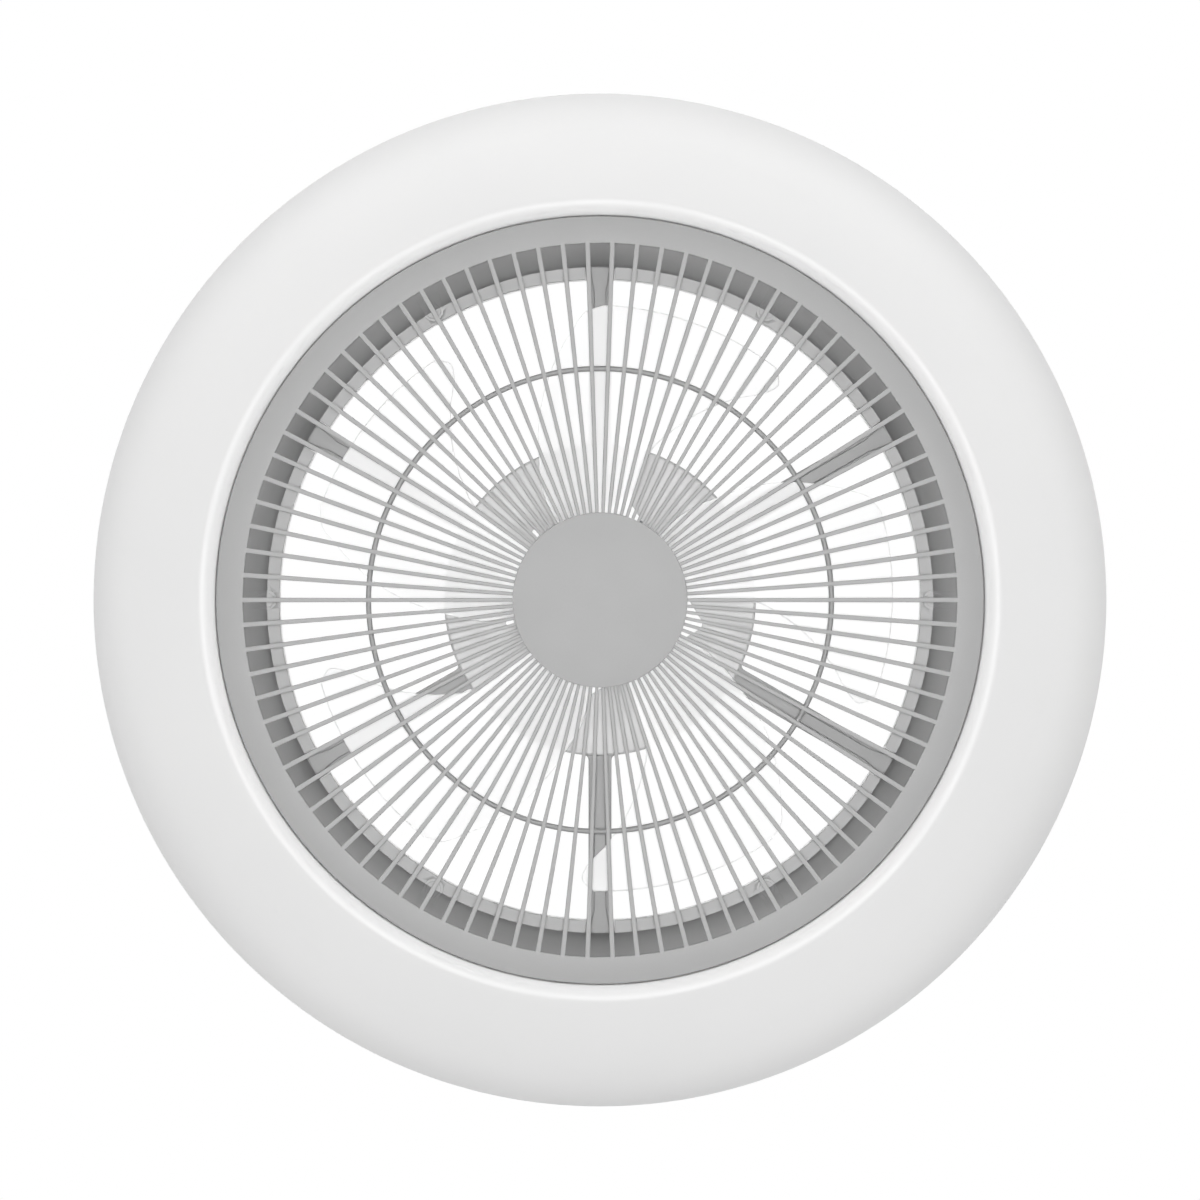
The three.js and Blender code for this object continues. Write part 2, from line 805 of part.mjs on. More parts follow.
function braceGeometry() {
  const level = grilleBack + gap + braceRod;
  return turned(ring(rodFacets, (index) => {
    const point = spot(braceRod, (index / rodFacets - 0.25) * 2 * Math.PI);
    return [braceRadius + point.x, level + point.y];
  }), bigFacets);
}

function capGeometry() {
  const back = grilleFace - gap;
  const spigot = hubHoleRadius - gap;
  return turnedSolid([
    [0, back - capThickness],
    [capRadius - capThickness / 2, back - capThickness],
    [capRadius, back - capThickness / 2],
    [capRadius, back],
    [spigot, back],
    [spigot, grilleBack],
    [spigot - capSpigotWall, grilleBack],
    [spigot - capSpigotWall, back],
    [0, back],
  ], housingFacets);
}

piece(fan, 'grille', grilleGeometry(), silverGrey);
piece(fan, 'grille_brace_ring', braceGeometry(), silverGrey);
piece(fan, 'hub_cap', capGeometry(), silverGrey);

// ---- Motor, the part that stands still ----

const statorMiddle = bellFloorTop + magnetFloorGap + magnetHeight / 2;
const statorLow = statorMiddle - statorHeight / 2;
const statorHigh = statorMiddle + statorHeight / 2;
const statorHub = bearingTubeOuter + gap + statorHubWall;
const toothReach = statorRadius - shoeThickness;
const bore = shaftRadius + gap;
const bearingOuter = bearingTubeInner - gap;
const upperBearingTop = plateUnder - gap;
const lowerBearingUnder = tubeEnd + gap;

function motorPlateGeometry() {
  const plate = turnedSolid([
    [0, plateTop],
    [motorPlateRadius, plateTop],
    [motorPlateRadius, plateUnder],
    [bearingTubeOuter, plateUnder],
    [bearingTubeOuter, tubeEnd],
    [bearingTubeInner, tubeEnd],
    [bearingTubeInner, plateUnder],
    [0, plateUnder],
  ], motorFacets);
  return cut(plate, ...ring(4, (index) => rod(
    smallScrew.shank + gap,
    plateUnder - cutOver,
    plateTop + cutOver,
  ).translate(plateScrewCircle, 0, 0).rotateZ(openingSide + (index * Math.PI) / 2)));
}

function statorOutline() {
  const half = toothWidth / 2;
  const shoe = shoeWidth / 2;
  const rootX = Math.sqrt(statorHub ** 2 - half ** 2);
  const shoeX = Math.sqrt(statorRadius ** 2 - shoe ** 2);
  const side = [[rootX, half], [toothReach, half], [toothReach, shoe], [shoeX, shoe]];
  const tooth = [...side.map(([x, y]) => [x, -y]), [statorRadius, 0], ...[...side].reverse()];
  return ring(toothCount, (index) => index).flatMap((index) => tooth.map(([x, y]) => (
    new THREE.Vector2(x, y).rotateAround(new THREE.Vector2(), (index * 2 * Math.PI) / toothCount)
  )));
}

function windingGeometry() {
  const coils = plainRing(
    statorHub + gap,
    toothReach - gap,
    statorLow - coilOverhang,
    statorHigh + coilOverhang,
    motorFacets,
  );
  return cut(coils, ...ring(toothCount, (index) => block(
    [bearingTubeOuter, statorRadius],
    [-toothWidth / 2 - gap, toothWidth / 2 + gap],
    [statorLow - gap, statorHigh + gap],
  ).rotateZ((index * 2 * Math.PI) / toothCount)));
}

piece(fan, 'motor_plate', motorPlateGeometry(), darkSteel);
ring(4, (index) => piece(
  fan,
  `motor_plate_screw_${index + 1}`,
  screwGeometry({ ...smallScrew, length: floorTop - plateUnder + gap })
    .translate(plateScrewCircle, 0, plateUnder - gap),
  steel,
  [0, 0, 0],
  openingSide + (index * Math.PI) / 2,
));
piece(fan, 'bearing_upper', plainRing(
  bore,
  bearingOuter,
  upperBearingTop - bearingWidth,
  upperBearingTop,
  motorFacets,
), steel);
piece(fan, 'bearing_spacer', plainRing(
  bellBossRadius,
  bearingOuter,
  lowerBearingUnder + bearingWidth + gap,
  upperBearingTop - bearingWidth - gap,
  motorFacets,
), darkSteel);
piece(fan, 'bearing_lower', plainRing(
  bore,
  bearingOuter,
  lowerBearingUnder,
  lowerBearingUnder + bearingWidth,
  motorFacets,
), steel);
piece(fan, 'stator_core', slab(
  statorOutline(),
  [circle(bearingTubeOuter + gap, motorFacets)],
  statorLow,
  statorHigh,
), laminated);
piece(fan, 'stator_winding', windingGeometry(), copper);

// ---- Rotor ----

const bladeAngle = (index) => (index * 2 * Math.PI) / bladeCount;
const bladeScrewHole = bladeScrew.shank + gap;

// The five screw holes through what turns with the blades.
const bladeScrewHoles = (low, high) => ring(bladeCount, (index) => rod(
  bladeScrewHole,
  low - cutOver,
  high + cutOver,
).translate(bladeScrewCircle, 0, 0).rotateZ(bladeAngle(index) + bladeScrewTurn * degrees));

function bellGeometry() {
  const bossTop = lowerBearingUnder - gap;
  const bell = turned([
    [bore, bellUnder],
    [bellRadius, bellUnder],
    [bellRadius, bellUnder + bellHeight],
    [bellRadius - bellWall, bellUnder + bellHeight],
    [bellRadius - bellWall, bellFloorTop],
    [bellBossRadius, bellFloorTop],
    [bellBossRadius, bossTop],
    [bore, bossTop],
  ], motorFacets);
  return cut(bell, ...bladeScrewHoles(bellUnder, bellFloorTop));
}

// Each edge of a blade in plan: [share of the way from the flat root to the tip, degrees].
const trailingEdge = [[0, 47], [0.13, 46.9], [0.36, 41.1], [0.64, 32.8], [0.9, 23.5], [0.97, 20.8],
  [1, 17.2]];
const leadingEdge = [[0, 0.4], [0.35, 0.8], [0.48, 4.8], [0.59, 8.8], [0.78, 16.5], [0.88, 20.8],
  [0.94, 21.8], [0.98, 20.5], [1, 19.3]];
const bladeRows = 12;
const bladeColumns = 4;

function edgeAngle(edge, share) {
  const last = Math.max(1, edge.findIndex(([at]) => at >= share));
  const [[from, start], [to, end]] = edge.slice(last - 1, last + 1);
  return THREE.MathUtils.mapLinear(Math.max(share, 0), from, to, start, end) * degrees;
}

// Rows lie closer together towards the rounded tip. The first two bound the flat root.
function bladeRowRadius(row) {
  if (row === 0) return bladeRootRadius;
  const share = Math.sin(((row - 1) / (bladeRows - 1)) * (Math.PI / 2));
  return THREE.MathUtils.lerp(tabEnd, bladeTipRadius, share);
}

function bladeGeometry() {
  const sheet = new THREE.BoxGeometry(1, 1, 1, bladeRows, bladeColumns, 1);
  const points = sheet.attributes.position;
  for (let index = 0; index < points.count; index += 1) {
    const radius = bladeRowRadius(Math.round((points.getX(index) + 0.5) * bladeRows));
    const across = points.getY(index) + 0.5;
    const share = (radius - tabEnd) / (bladeTipRadius - tabEnd);
    const angle = THREE.MathUtils.lerp(
      -edgeAngle(trailingEdge, share),
      edgeAngle(leadingEdge, share),
      across,
    );
    const twist = THREE.MathUtils.smoothstep(radius, tabEnd, tabEnd + twistLength);
    const sideways = radius * Math.sin(angle - bladeAxisTurn * degrees);
    const arch = bladeCamber * (1 - (2 * across - 1) ** 2);
    const level = twist * (sideways * Math.tan(bladePitchTurn * degrees) + arch);
    const place = spot(radius, angle);
    points.setXYZ(index, place.x, place.y, bladeLevel + level + points.getZ(index) * bladeThickness);
  }
  return cut(sheet, bladeScrewHoles(clampTop, carrierUnder)[0]);
}

function plateWithScrewHoles(inner, outer, low, high) {
  return cut(plainRing(inner, outer, low, high, motorFacets), ...bladeScrewHoles(low, high));
}

piece(rotor, 'rotor_bell', bellGeometry(), darkSteel);
piece(rotor, 'magnet_ring', plainRing(
  statorRadius + airGap,
  bellRadius - bellWall - gap,
  bellFloorTop + magnetFloorGap,
  bellFloorTop + magnetFloorGap + magnetHeight,
  motorFacets,
), magnetBlack);
piece(rotor, 'rotor_shaft', rod(shaftRadius, shaftEnd, shaftTop, motorFacets / 2), steel);
piece(
  rotor,
  'blade_carrier',
  plateWithScrewHoles(bore, carrierRadius, carrierUnder, carrierTop),
  darkSteel,
);
piece(
  rotor,
  'blade_clamp_ring',
  plateWithScrewHoles(clampInnerRadius, clampOuterRadius, clampUnder, clampTop),
  darkSteel,
);
piece(rotor, 'blade_nut', slab(
  circle(nutRadius, 6),
  [circle(bore, motorFacets / 2)],
  nutUnder,
  nutTop,
), steel);

ring(bladeCount, (index) => {
  piece(rotor, `blade_${index + 1}`, bladeGeometry(), clearBlade, [0, 0, 0], bladeAngle(index));
  piece(
    rotor,
    `blade_screw_${index + 1}`,
    screwGeometry({ ...bladeScrew, length: bellFloorTop - clampUnder + gap })
      .translate(bladeScrewCircle, 0, clampUnder - gap),
    steel,
    [0, 0, 0],
    bladeAngle(index) + bladeScrewTurn * degrees,
  );
});

export default fan;
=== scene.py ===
"""Enclosed ceiling fan with a ring lamp: the finish of every piece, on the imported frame.

Metres, +Z up. The ceiling is the plane z = 0 and the fan hangs below it, seen from straight under.
"""
from math import acos, atan2, cos, pi, radians, sin, sqrt, tan, tau

import bmesh
import bpy
from mathutils import Matrix, Vector


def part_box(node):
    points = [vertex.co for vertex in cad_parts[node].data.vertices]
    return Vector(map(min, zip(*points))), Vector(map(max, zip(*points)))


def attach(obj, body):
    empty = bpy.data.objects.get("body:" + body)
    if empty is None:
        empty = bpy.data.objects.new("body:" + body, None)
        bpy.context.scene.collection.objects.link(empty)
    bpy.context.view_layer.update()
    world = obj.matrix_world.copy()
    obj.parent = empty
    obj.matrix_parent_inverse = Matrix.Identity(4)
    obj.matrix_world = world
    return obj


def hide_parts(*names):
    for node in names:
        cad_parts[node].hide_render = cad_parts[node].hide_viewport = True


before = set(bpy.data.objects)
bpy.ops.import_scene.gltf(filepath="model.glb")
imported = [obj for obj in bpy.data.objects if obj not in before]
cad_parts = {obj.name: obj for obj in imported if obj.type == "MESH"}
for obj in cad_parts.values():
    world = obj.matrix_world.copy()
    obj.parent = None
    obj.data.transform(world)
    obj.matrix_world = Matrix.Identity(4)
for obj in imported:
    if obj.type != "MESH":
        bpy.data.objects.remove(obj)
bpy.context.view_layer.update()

# ---- Sizes, from the frame and in metres ----


def rim(node):
    """The widest radius of a round node."""
    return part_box(node)[1].x


def under(node):
    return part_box(node)[0].z


def top(node):
    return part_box(node)[1].z


def extent(node):
    """Lowest level, highest level and widest radius."""
    return under(node), top(node), rim(node)


GAP = 0.0003                    # clearance between neighbouring pieces
PAST = 0.001                    # how far a cutter reaches past what it cuts
WELD = 1e-6                     # points closer than this are one
ROUND = 240                     # steps round the large rings
SMALL_ROUND = 96                # steps round the motor's pieces
CREASE = radians(32)            # faces that meet at more than this show an edge

OUTER = rim("lamp_cover")
LOWEST = under("lamp_cover")
SEAM = under("upper_casing")
CASING_TOP = top("upper_casing")
SHELL_WALL = 0.002
CASING_ROUNDNESS = 2.2          # 2 is an ellipse, more is squarer
CASING_FLAT = 0.225
SPIGOT_TOP = top("lamp_cover")
SPIGOT = 0.2967
SPIGOT_WALL = 0.003
LIP_ROUND = 0.0067              # height of the lamp cover's rolled inner edge
LIP_WIDTH = 0.0084              # and how far it reaches in from its lowest circle

TRIM = rim("grille")
LAMP_INNER = TRIM + GAP
BEAD = LAMP_INNER + LIP_WIDTH   # lowest circle of the roll
BEAD_END = BEAD + 0.0023        # where the roll meets the sloping face
BEAD_RISE = 0.00023
FACE_INSET = 0.0247             # from the face's inner edge in to its ellipse's middle
GRILLE_FACE = under("grille")
GRILLE_BACK = top("grille")
DUCT_BOTTOM = GRILLE_BACK + GAP
DUCT_RADIUS = 0.205
DUCT_LIP = 0.2017
DUCT_WALL = 0.002
DUCT_FLANGE = rim("duct_ring")
DUCT_TOP = top("duct_ring")
LIP_FACE = -0.080
LIP_INNER = 0.1942
BOSS_RADIUS = 0.0061
BOSS_DROP = 0.0016
BOSS_STEP = 0.0017              # a boss's face is smaller than the boss
LEDGE_TOP = SPIGOT_TOP - GAP
LEDGE_THICKNESS = 0.0015
LEDGE_WIDTH = 0.0034
PEG_CIRCLE = (DUCT_RADIUS + TRIM) / 2
PEG_RADIUS = 0.0025
ARM_COUNT = 6                   # and as many bosses and pegs
SCREW_HOLE = 0.0018
THICK_SCREW_HOLE = 0.0023

RIB_COUNT = 90
HUB_RING = 0.047
HUB_HOLE = 0.030

HOUSING = rim("canopy_housing")
HOUSING_UNDER = under("canopy_housing")
HOUSING_WALL = 0.002
OPENING_HALF = 0.0461
OPENING_TURN = radians(59)
BRACKET_TURN = radians(-41)
PLATE_SCREW_CIRCLE = 0.0493
BRACKET_SCREW_LEVEL = -0.010
VENT_CIRCLE = 0.056
VENT_RADIUS = 0.0024
VENT_TURN = radians(-14)

ARM_START = HOUSING - GAP
ARM_END = 0.2009
ARM_TOP = top("support_arm_1")
ARM_UNDER = under("support_arm_1")
ARM_AXIS = -0.0763
ARM_HALF = 0.00695
ARM_FLARE = 0.00185
TONGUE_LENGTH = 0.005           # the end of an arm, in a window of the duct
TONGUE_ROOM = 0.007
TONGUE_HALF = 0.0035
TONGUE_RISE = 0.002

BLADE_LEVEL = -0.122
BLADE_COUNT = 5
BLADE_SCREW_CIRCLE = 0.037
BLADE_SCREW_TURN = radians(-23.5)
BELL_FLOOR = -0.114
SHAFT_HOLE = 0.0053
RACE_SEAT = 0.0075              # radius of what an inner race rests on

# ---- Making meshes ----


def around(count, start=0.0):
    """Evenly spaced angles."""
    return [start + index * tau / count for index in range(count)]


def on_circle(radius, turn):
    return radius * cos(turn), radius * sin(turn)


BOSS_TURNS = around(ARM_COUNT)
ARM_TURNS = around(ARM_COUNT, pi / ARM_COUNT)
PLATE_TURNS = around(4, OPENING_TURN)
BRACKET_TURNS = around(2, BRACKET_TURN)
BLADE_TURNS = around(BLADE_COUNT)
BLADE_SCREW_TURNS = around(BLADE_COUNT, BLADE_SCREW_TURN)


def filleted(corners, steps=4):
    """A closed outline from (x, y, radius) corners, each rounded to its radius."""
    outline = []
    for index, (x, y, radius) in enumerate(corners):
        here = Vector((x, y))
        if not radius:
            outline.append(here)
            continue
        back = (Vector(corners[index - 1][:2]) - here).normalized()
        ahead = (Vector(corners[(index + 1) % len(corners)][:2]) - here).normalized()
        half = back.angle(ahead) / 2
        centre = here + (back + ahead).normalized() * radius / sin(half)
        spokes = [here + way * radius / tan(half) - centre for way in (back, ahead)]
        first, last = (atan2(spoke.y, spoke.x) for spoke in spokes)
        sweep = (last - first + pi) % tau - pi
        for step in range(steps + 1):
            angle = first + sweep * step / steps
            outline.append(centre + radius * Vector((cos(angle), sin(angle))))
    return outline


def shell_curve(wide, narrow, start, end, steps=30):
    """A quarter of a rounded-square curve, as sharp (radius, level, 0) corners."""
    curve = []
    for step in range(steps + 1):
        turn = step / steps * pi / 2
        across = max(cos(turn), 0) ** (2 / CASING_ROUNDNESS)
        down = sin(turn) ** (2 / CASING_ROUNDNESS)
        curve.append((narrow + (wide - narrow) * across, start + (end - start) * down, 0))
    return curve


def mesh_from(name, points, faces):
    """A closed mesh with its faces pointing outwards."""
    mesh = bpy.data.meshes.new(name)
    mesh.from_pydata([tuple(point) for point in points], [], faces)
    shape = bmesh.new()
    shape.from_mesh(mesh)
    bmesh.ops.remove_doubles(shape, verts=shape.verts, dist=WELD)
    bmesh.ops.recalc_face_normals(shape, faces=shape.faces)
    shape.to_mesh(mesh)
    shape.free()
    return mesh


def turned(name, corners, steps=ROUND):
    """Turns an outline of (radius, level, rounding) corners about the Z axis."""
    outline = filleted(corners)
    points, rings = [], []
    for radius, level in outline:
        on_axis = radius < 1e-7
        rings.append([len(points) + (0 if on_axis else step) for step in range(steps)])
        turns = [0.0] if on_axis else around(steps)
        points += [(radius * cos(turn), radius * sin(turn), level) for turn in turns]
    faces = []
    for here, there in zip(rings, rings[1:] + rings[:1]):
        for step in range(steps):
            after = (step + 1) % steps
            corner = [here[step], here[after], there[after], there[step]]
            kept = [c for i, c in enumerate(corner) if c != corner[i - 1]]
            if len(kept) > 2:
                faces.append(kept)
    return mesh_from(name, points, faces)


def lofted(name, sections):
    """A closed mesh through a list of sections with equally many points each."""
    size = len(sections[0])
    points = [point for section in sections for point in section]
    faces = [list(range(size)), list(range(len(points) - size, len(points)))]
    for first in range(0, len(points) - size, size):
        for index in range(size):
            after = (index + 1) % size
            faces.append([first + index, first + after, first + size + after, first + size + index])
    return mesh_from(name, points, faces)


def prism(name, outline, low, high):
    """An upright solid with the same outline all the way up."""
    return lofted(name, [[(*corner, level) for corner in outline] for level in (low, high)])


def block(low, high, turn=0.0):
    """A box between two corners, turned about the Z axis."""
    (x0, y0, z0), (x1, y1, z1) = low, high
    mesh = prism("block", [(x0, y0), (x1, y0), (x1, y1), (x0, y1)], z0, z1)
    mesh.transform(Matrix.Rotation(turn, 4, "Z"))
    return mesh


def rod(radius, low, high, place=(0, 0), steps=32, rounding=0.0):
    """An upright rod; its lower edge may be rounded."""
    corners = [(0, low, 0), (radius, low, rounding), (radius, high, 0), (0, high, 0)]
    mesh = turned("rod", corners, steps)
    mesh.transform(Matrix.Translation((*place, 0)))
    return mesh


def rods(turns, circle, radius, low, high, steps=24, rounding=0.0):
    """Upright rods on a circle."""
    return [rod(radius, low, high, on_circle(circle, turn), steps, rounding) for turn in turns]


def tube(name, inner, outer, low, high, rounding=0.0003):
    return turned(name, [(inner, low, rounding), (outer, low, rounding), (outer, high, rounding),
                         (inner, high, rounding)], SMALL_ROUND)


def spoke_rod(radius, inner, outer, turn, level, steps=32):
    """A rod that lies along a radius."""
    mesh = rod(radius, inner, outer, steps=steps)
    mesh.transform(Matrix.Translation((0, 0, level))
                   @ Matrix.Rotation(turn, 4, "Z") @ Matrix.Rotation(pi / 2, 4, "Y"))
    return mesh


def joined(name, meshes):
    """One mesh out of several, as they lie."""
    shape = bmesh.new()
    for mesh in meshes:
        shape.from_mesh(mesh)
        bpy.data.meshes.remove(mesh)
    result = bpy.data.meshes.new(name)
    shape.to_mesh(result)
    shape.free()
    return result


def copied_round(mesh, turns):
    """Copies of a mesh at several turns about the Z axis, in place of the mesh."""
    copies = [mesh.copy() for _ in turns]
    for copy, turn in zip(copies, turns):
        copy.transform(Matrix.Rotation(turn, 4, "Z"))
    bpy.data.meshes.remove(mesh)
    return copies


def shown(name, data):
    thing = bpy.data.objects.new(name, data)
    bpy.context.scene.collection.objects.link(thing)
    return thing


def settled(thing):
    """The mesh that an object's modifiers give. The object is removed."""
    graph = bpy.context.evaluated_depsgraph_get()
    mesh = bpy.data.meshes.new_from_object(thing.evaluated_get(graph), depsgraph=graph)
    bpy.data.objects.remove(thing)
    return mesh


def combined(mesh, others, operation="DIFFERENCE"):
    """Cuts other meshes out of a mesh, or adds them to it."""
    body = shown(mesh.name, mesh)
    other = shown("tool", joined("tool", others))
    change = body.modifiers.new("change", "BOOLEAN")
    change.operation = operation
    change.solver = "EXACT"
    change.object = other
    result = settled(body)
    bpy.data.objects.remove(other)
    return result


def softened(node, width):
    """A copy of a node's mesh with its sharp edges bevelled."""
    shape = bmesh.new()
    shape.from_mesh(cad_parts[node].data)
    bmesh.ops.remove_doubles(shape, verts=shape.verts, dist=WELD)
    bmesh.ops.dissolve_limit(shape, angle_limit=radians(1), verts=shape.verts, edges=shape.edges)
    mesh = bpy.data.meshes.new(node)
    shape.to_mesh(mesh)
    shape.free()
    thing = shown(node, mesh)
    bevel = thing.modifiers.new("edges", "BEVEL")
    bevel.width = width
    bevel.segments = 2
    bevel.limit_method = "ANGLE"
    bevel.angle_limit = CREASE
    return settled(thing)


def smoothed(mesh):
    """Smooth shading, with an edge where faces meet at more than the crease angle."""
    mesh.shade_smooth()
    mesh.set_sharp_from_angle(angle=CREASE)
    return mesh


def evenly_shaded(mesh):
    """Shading led by the large faces, so that cut holes leave no streaks on a shell."""
    thing = shown(mesh.name, smoothed(mesh))
    even = thing.modifiers.new("even", "WEIGHTED_NORMAL")
    even.keep_sharp = True
    return settled(thing)


def piece(name, mesh, material, nodes=(), body="fan_frame"):
    """Shows a mesh as a piece that rides on a body and stands for the nodes."""
    mesh.materials.clear()
    mesh.materials.append(material)
    thing = shown(name, smoothed(mesh))
    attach(thing, body)
    if nodes:
        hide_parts(*nodes)


def softened_piece(name, node, width, material, body="fan_frame"):
    piece(name, softened(node, width), material, [node], body)


# ---- Node trees ----


class Nodes:
    """Short ways to add nodes to a tree."""

    def __init__(self, tree):
        self.tree = tree

    def add(self, kind, inputs=None, **settings):
        """Adds a node, sets its properties and fills or links its inputs."""
        node = self.tree.nodes.new(kind)
        for key, value in settings.items():
            setattr(node, key, value)
        for socket, value in (inputs or {}).items():
            self.feed(node, socket, value)
        return node

    def feed(self, node, socket, value):
        """Links an input to a socket or a node's first output, or gives it a plain value."""
        source = value.outputs[0] if isinstance(value, bpy.types.Node) else value
        if isinstance(source, bpy.types.NodeSocket):
            self.tree.links.new(source, node.inputs[socket])
        else:
            node.inputs[socket].default_value = source

    def calc(self, operation, *values):
        return self.add("ShaderNodeMath", dict(enumerate(values)), operation=operation)

    def times(self, first, second):
        return self.calc("MULTIPLY", first, second)

    def between(self, value, low, high, start=0.3, end=0.7):
        """Spreads the values from start to end over low to high."""
        return self.add("ShaderNodeMapRange", {
            "Value": value, "From Min": start, "From Max": end, "To Min": low, "To Max": high})

    def vector(self, x=0.0, y=0.0, z=0.0):
        return self.add("ShaderNodeCombineXYZ", {0: x, 1: y, 2: z})

    def parts(self, place):
        return self.add("ShaderNodeSeparateXYZ", {0: place}).outputs


class Shape(Nodes):
    """A geometry tree. Its named inputs are its sizes, which are read like a dictionary."""

    SOCKETS = {int: "NodeSocketInt", float: "NodeSocketFloat"}

    def __init__(self, name, **sizes):
        super().__init__(bpy.data.node_groups.new(name, "GeometryNodeTree"))
        sockets = self.tree.interface
        sockets.new_socket("Geometry", in_out="INPUT", socket_type="NodeSocketGeometry")
        for label, value in sizes.items():
            kind = self.SOCKETS[type(value)]
            sockets.new_socket(label, in_out="INPUT", socket_type=kind).default_value = value
        sockets.new_socket("finish", in_out="INPUT", socket_type="NodeSocketMaterial")
        sockets.new_socket("Geometry", in_out="OUTPUT", socket_type="NodeSocketGeometry")
        self.given = self.tree.nodes.new("NodeGroupInput").outputs

    def __getitem__(self, label):
        return self.given[label]

    def geo(self, kind, inputs=None, **settings):
        return self.add("GeometryNode" + kind, inputs, **settings)

    def join(self, *shapes):
        whole = self.geo("JoinGeometry")
        for shape in shapes:
            self.feed(whole, 0, shape)
        return whole

    def circle(self, steps, radius):
        return self.geo("CurvePrimitiveCircle", {"Resolution": steps, "Radius": radius})

    def rounded_box(self, width, height, steps, radius):
        """A flat outline with rounded corners."""
        box = self.geo("CurvePrimitiveQuadrilateral", {"Width": width, "Height": height})
        return self.geo("FilletCurve", {"Curve": box, "Count": steps, "Radius": radius}, mode="POLY")

    def swept(self, curve, section, capped=False):
        return self.geo("CurveToMesh", {"Curve": curve, "Profile Curve": section, "Fill Caps": capped})

    def moved(self, shape, **where):
        return self.geo("Transform", {"Geometry": shape, "Translation": self.vector(**where)})

    def round_the_axis(self, shape, count):
        """Copies a shape evenly round the Z axis."""
        turn = self.times(self.geo("InputIndex"), self.calc("DIVIDE", tau, count))
        turned_by = self.add("FunctionNodeAxisAngleToRotation", {"Axis": (0, 0, 1), "Angle": turn})
        points = self.geo("Points", {"Count": count})
        return self.geo("InstanceOnPoints",
                        {"Points": points, "Instance": shape, "Rotation": turned_by})

    def close(self, shape):
        """Makes every copy real, with the finish that the tree is given."""
        real = self.geo("RealizeInstances", {0: shape})
        finished = self.geo("SetMaterial", {"Geometry": real, "Material": self["finish"]})
        self.add("NodeGroupOutput", {0: finished})
        return self.tree


def grown(tree, material, base=None, **sizes):
    """The plain mesh that a tree makes, from a base mesh if it needs one."""
    thing = shown(tree.name, base or bpy.data.meshes.new(tree.name))
    grow = thing.modifiers.new("shape", "NODES")
    grow.node_group = tree
    given = {**sizes, "finish": material}
    for socket in tree.interface.items_tree:
        if socket.in_out == "INPUT" and socket.name in given:
            grow[socket.identifier] = given[socket.name]
    return settled(thing)


def grille_rib_tree():
    """Ribs from the hub ring to the trim ring: rounded bars that widen on their way out."""
    tree = Shape(
        "grille_ribs", rib_count=RIB_COUNT, inner_radius=HUB_RING - PAST,
        outer_radius=DUCT_RADIUS + PAST, inner_width=0.00185, outer_width=0.0028,
        depth=GRILLE_BACK - GRILLE_FACE, edge=0.00035, face_level=GRILLE_FACE,
    )
    line = tree.geo("CurvePrimitiveLine", {
        "Start": tree.vector(tree["inner_radius"]), "End": tree.vector(tree["outer_radius"])})
    bar = tree.geo("ResampleCurve", {"Curve": line, "Count": 5})
    rib = tree.swept(bar, tree.rounded_box(tree["inner_width"], tree["depth"], 3, tree["edge"]), True)
    x, y, z = tree.parts(tree.geo("InputPosition"))
    ratio = tree.calc("DIVIDE", tree["outer_width"], tree["inner_width"])
    spread = tree.between(x, 1.0, ratio, tree["inner_radius"], tree["outer_radius"])
    middle = tree.calc("MULTIPLY_ADD", tree["depth"], 0.5, tree["face_level"])
    place = tree.vector(x, tree.times(y, spread), tree.calc("ADD", z, middle))
    tapered = tree.geo("SetPosition", {"Geometry": rib, "Position": place})
    return tree.close(tree.join(tree.round_the_axis(tapered, tree["rib_count"]), tree["Geometry"]))


def hoop_tree():
    """A round rod bent into a ring."""
    tree = Shape("hoop", steps=ROUND, ring_radius=0.1334, rod_radius=0.0015, level=0.0)
    path = tree.circle(tree["steps"], tree["ring_radius"])
    hoop = tree.swept(path, tree.circle(16, tree["rod_radius"]))
    return tree.close(tree.moved(hoop, z=tree["level"]))


def screw_tree():
    """A screw with a domed head, a cross recess and a thread, at each point of the base mesh.

    The point's "aim" is the way that the shank goes."""
    tree = Shape("cross_screws", head_radius=0.0028, head_height=0.0022,
                 shank_radius=0.0015, shank_length=0.008, pitch=0.0008)
    wide, tall = tree["head_radius"], tree["head_height"]
    thick, length = tree["shank_radius"], tree["shank_length"]
    cone = tree.geo("MeshCone", {
        "Vertices": 32, "Side Segments": 3, "Radius Top": wide,
        "Radius Bottom": tree.times(wide, 0.72), "Depth": tall})
    outside = tree.times(tall, -1.0)
    head = tree.geo("MeshBoolean", {"Mesh 1": tree.moved(cone, z=outside)}, operation="DIFFERENCE")
    slot_long = tree.times(wide, 1.05)
    slot_wide = tree.times(wide, 0.26)
    for x, y in ((slot_long, slot_wide), (slot_wide, slot_long)):
        slot = tree.geo("MeshCube", {"Size": tree.vector(x, y, tall)})
        tree.feed(head, "Mesh 2", tree.moved(slot, z=outside))
    core = tree.geo("MeshCylinder", {
        "Vertices": 24, "Radius": tree.times(thick, 0.84), "Depth": length})
    shank = tree.moved(core, z=tree.times(length, 0.5))
    inside = tree.times(thick, 0.9)
    spiral = tree.geo("CurveSpiral", {
        "Resolution": 20, "Rotations": tree.calc("DIVIDE", length, tree["pitch"]),
        "Start Radius": inside, "End Radius": inside, "Height": tree.times(length, 0.97)})
    ridge = tree.circle(4, tree.times(thick, 0.1))
    screw = tree.join(head, shank, tree.swept(spiral, ridge, True))
    aim = tree.geo("InputNamedAttribute", {"Name": "aim"}, data_type="FLOAT_VECTOR")
    way = tree.add("FunctionNodeAlignRotationToVector", {"Vector": aim}, axis="Z")
    return tree.close(tree.geo("InstanceOnPoints", {
        "Points": tree["Geometry"], "Instance": screw, "Rotation": way}))


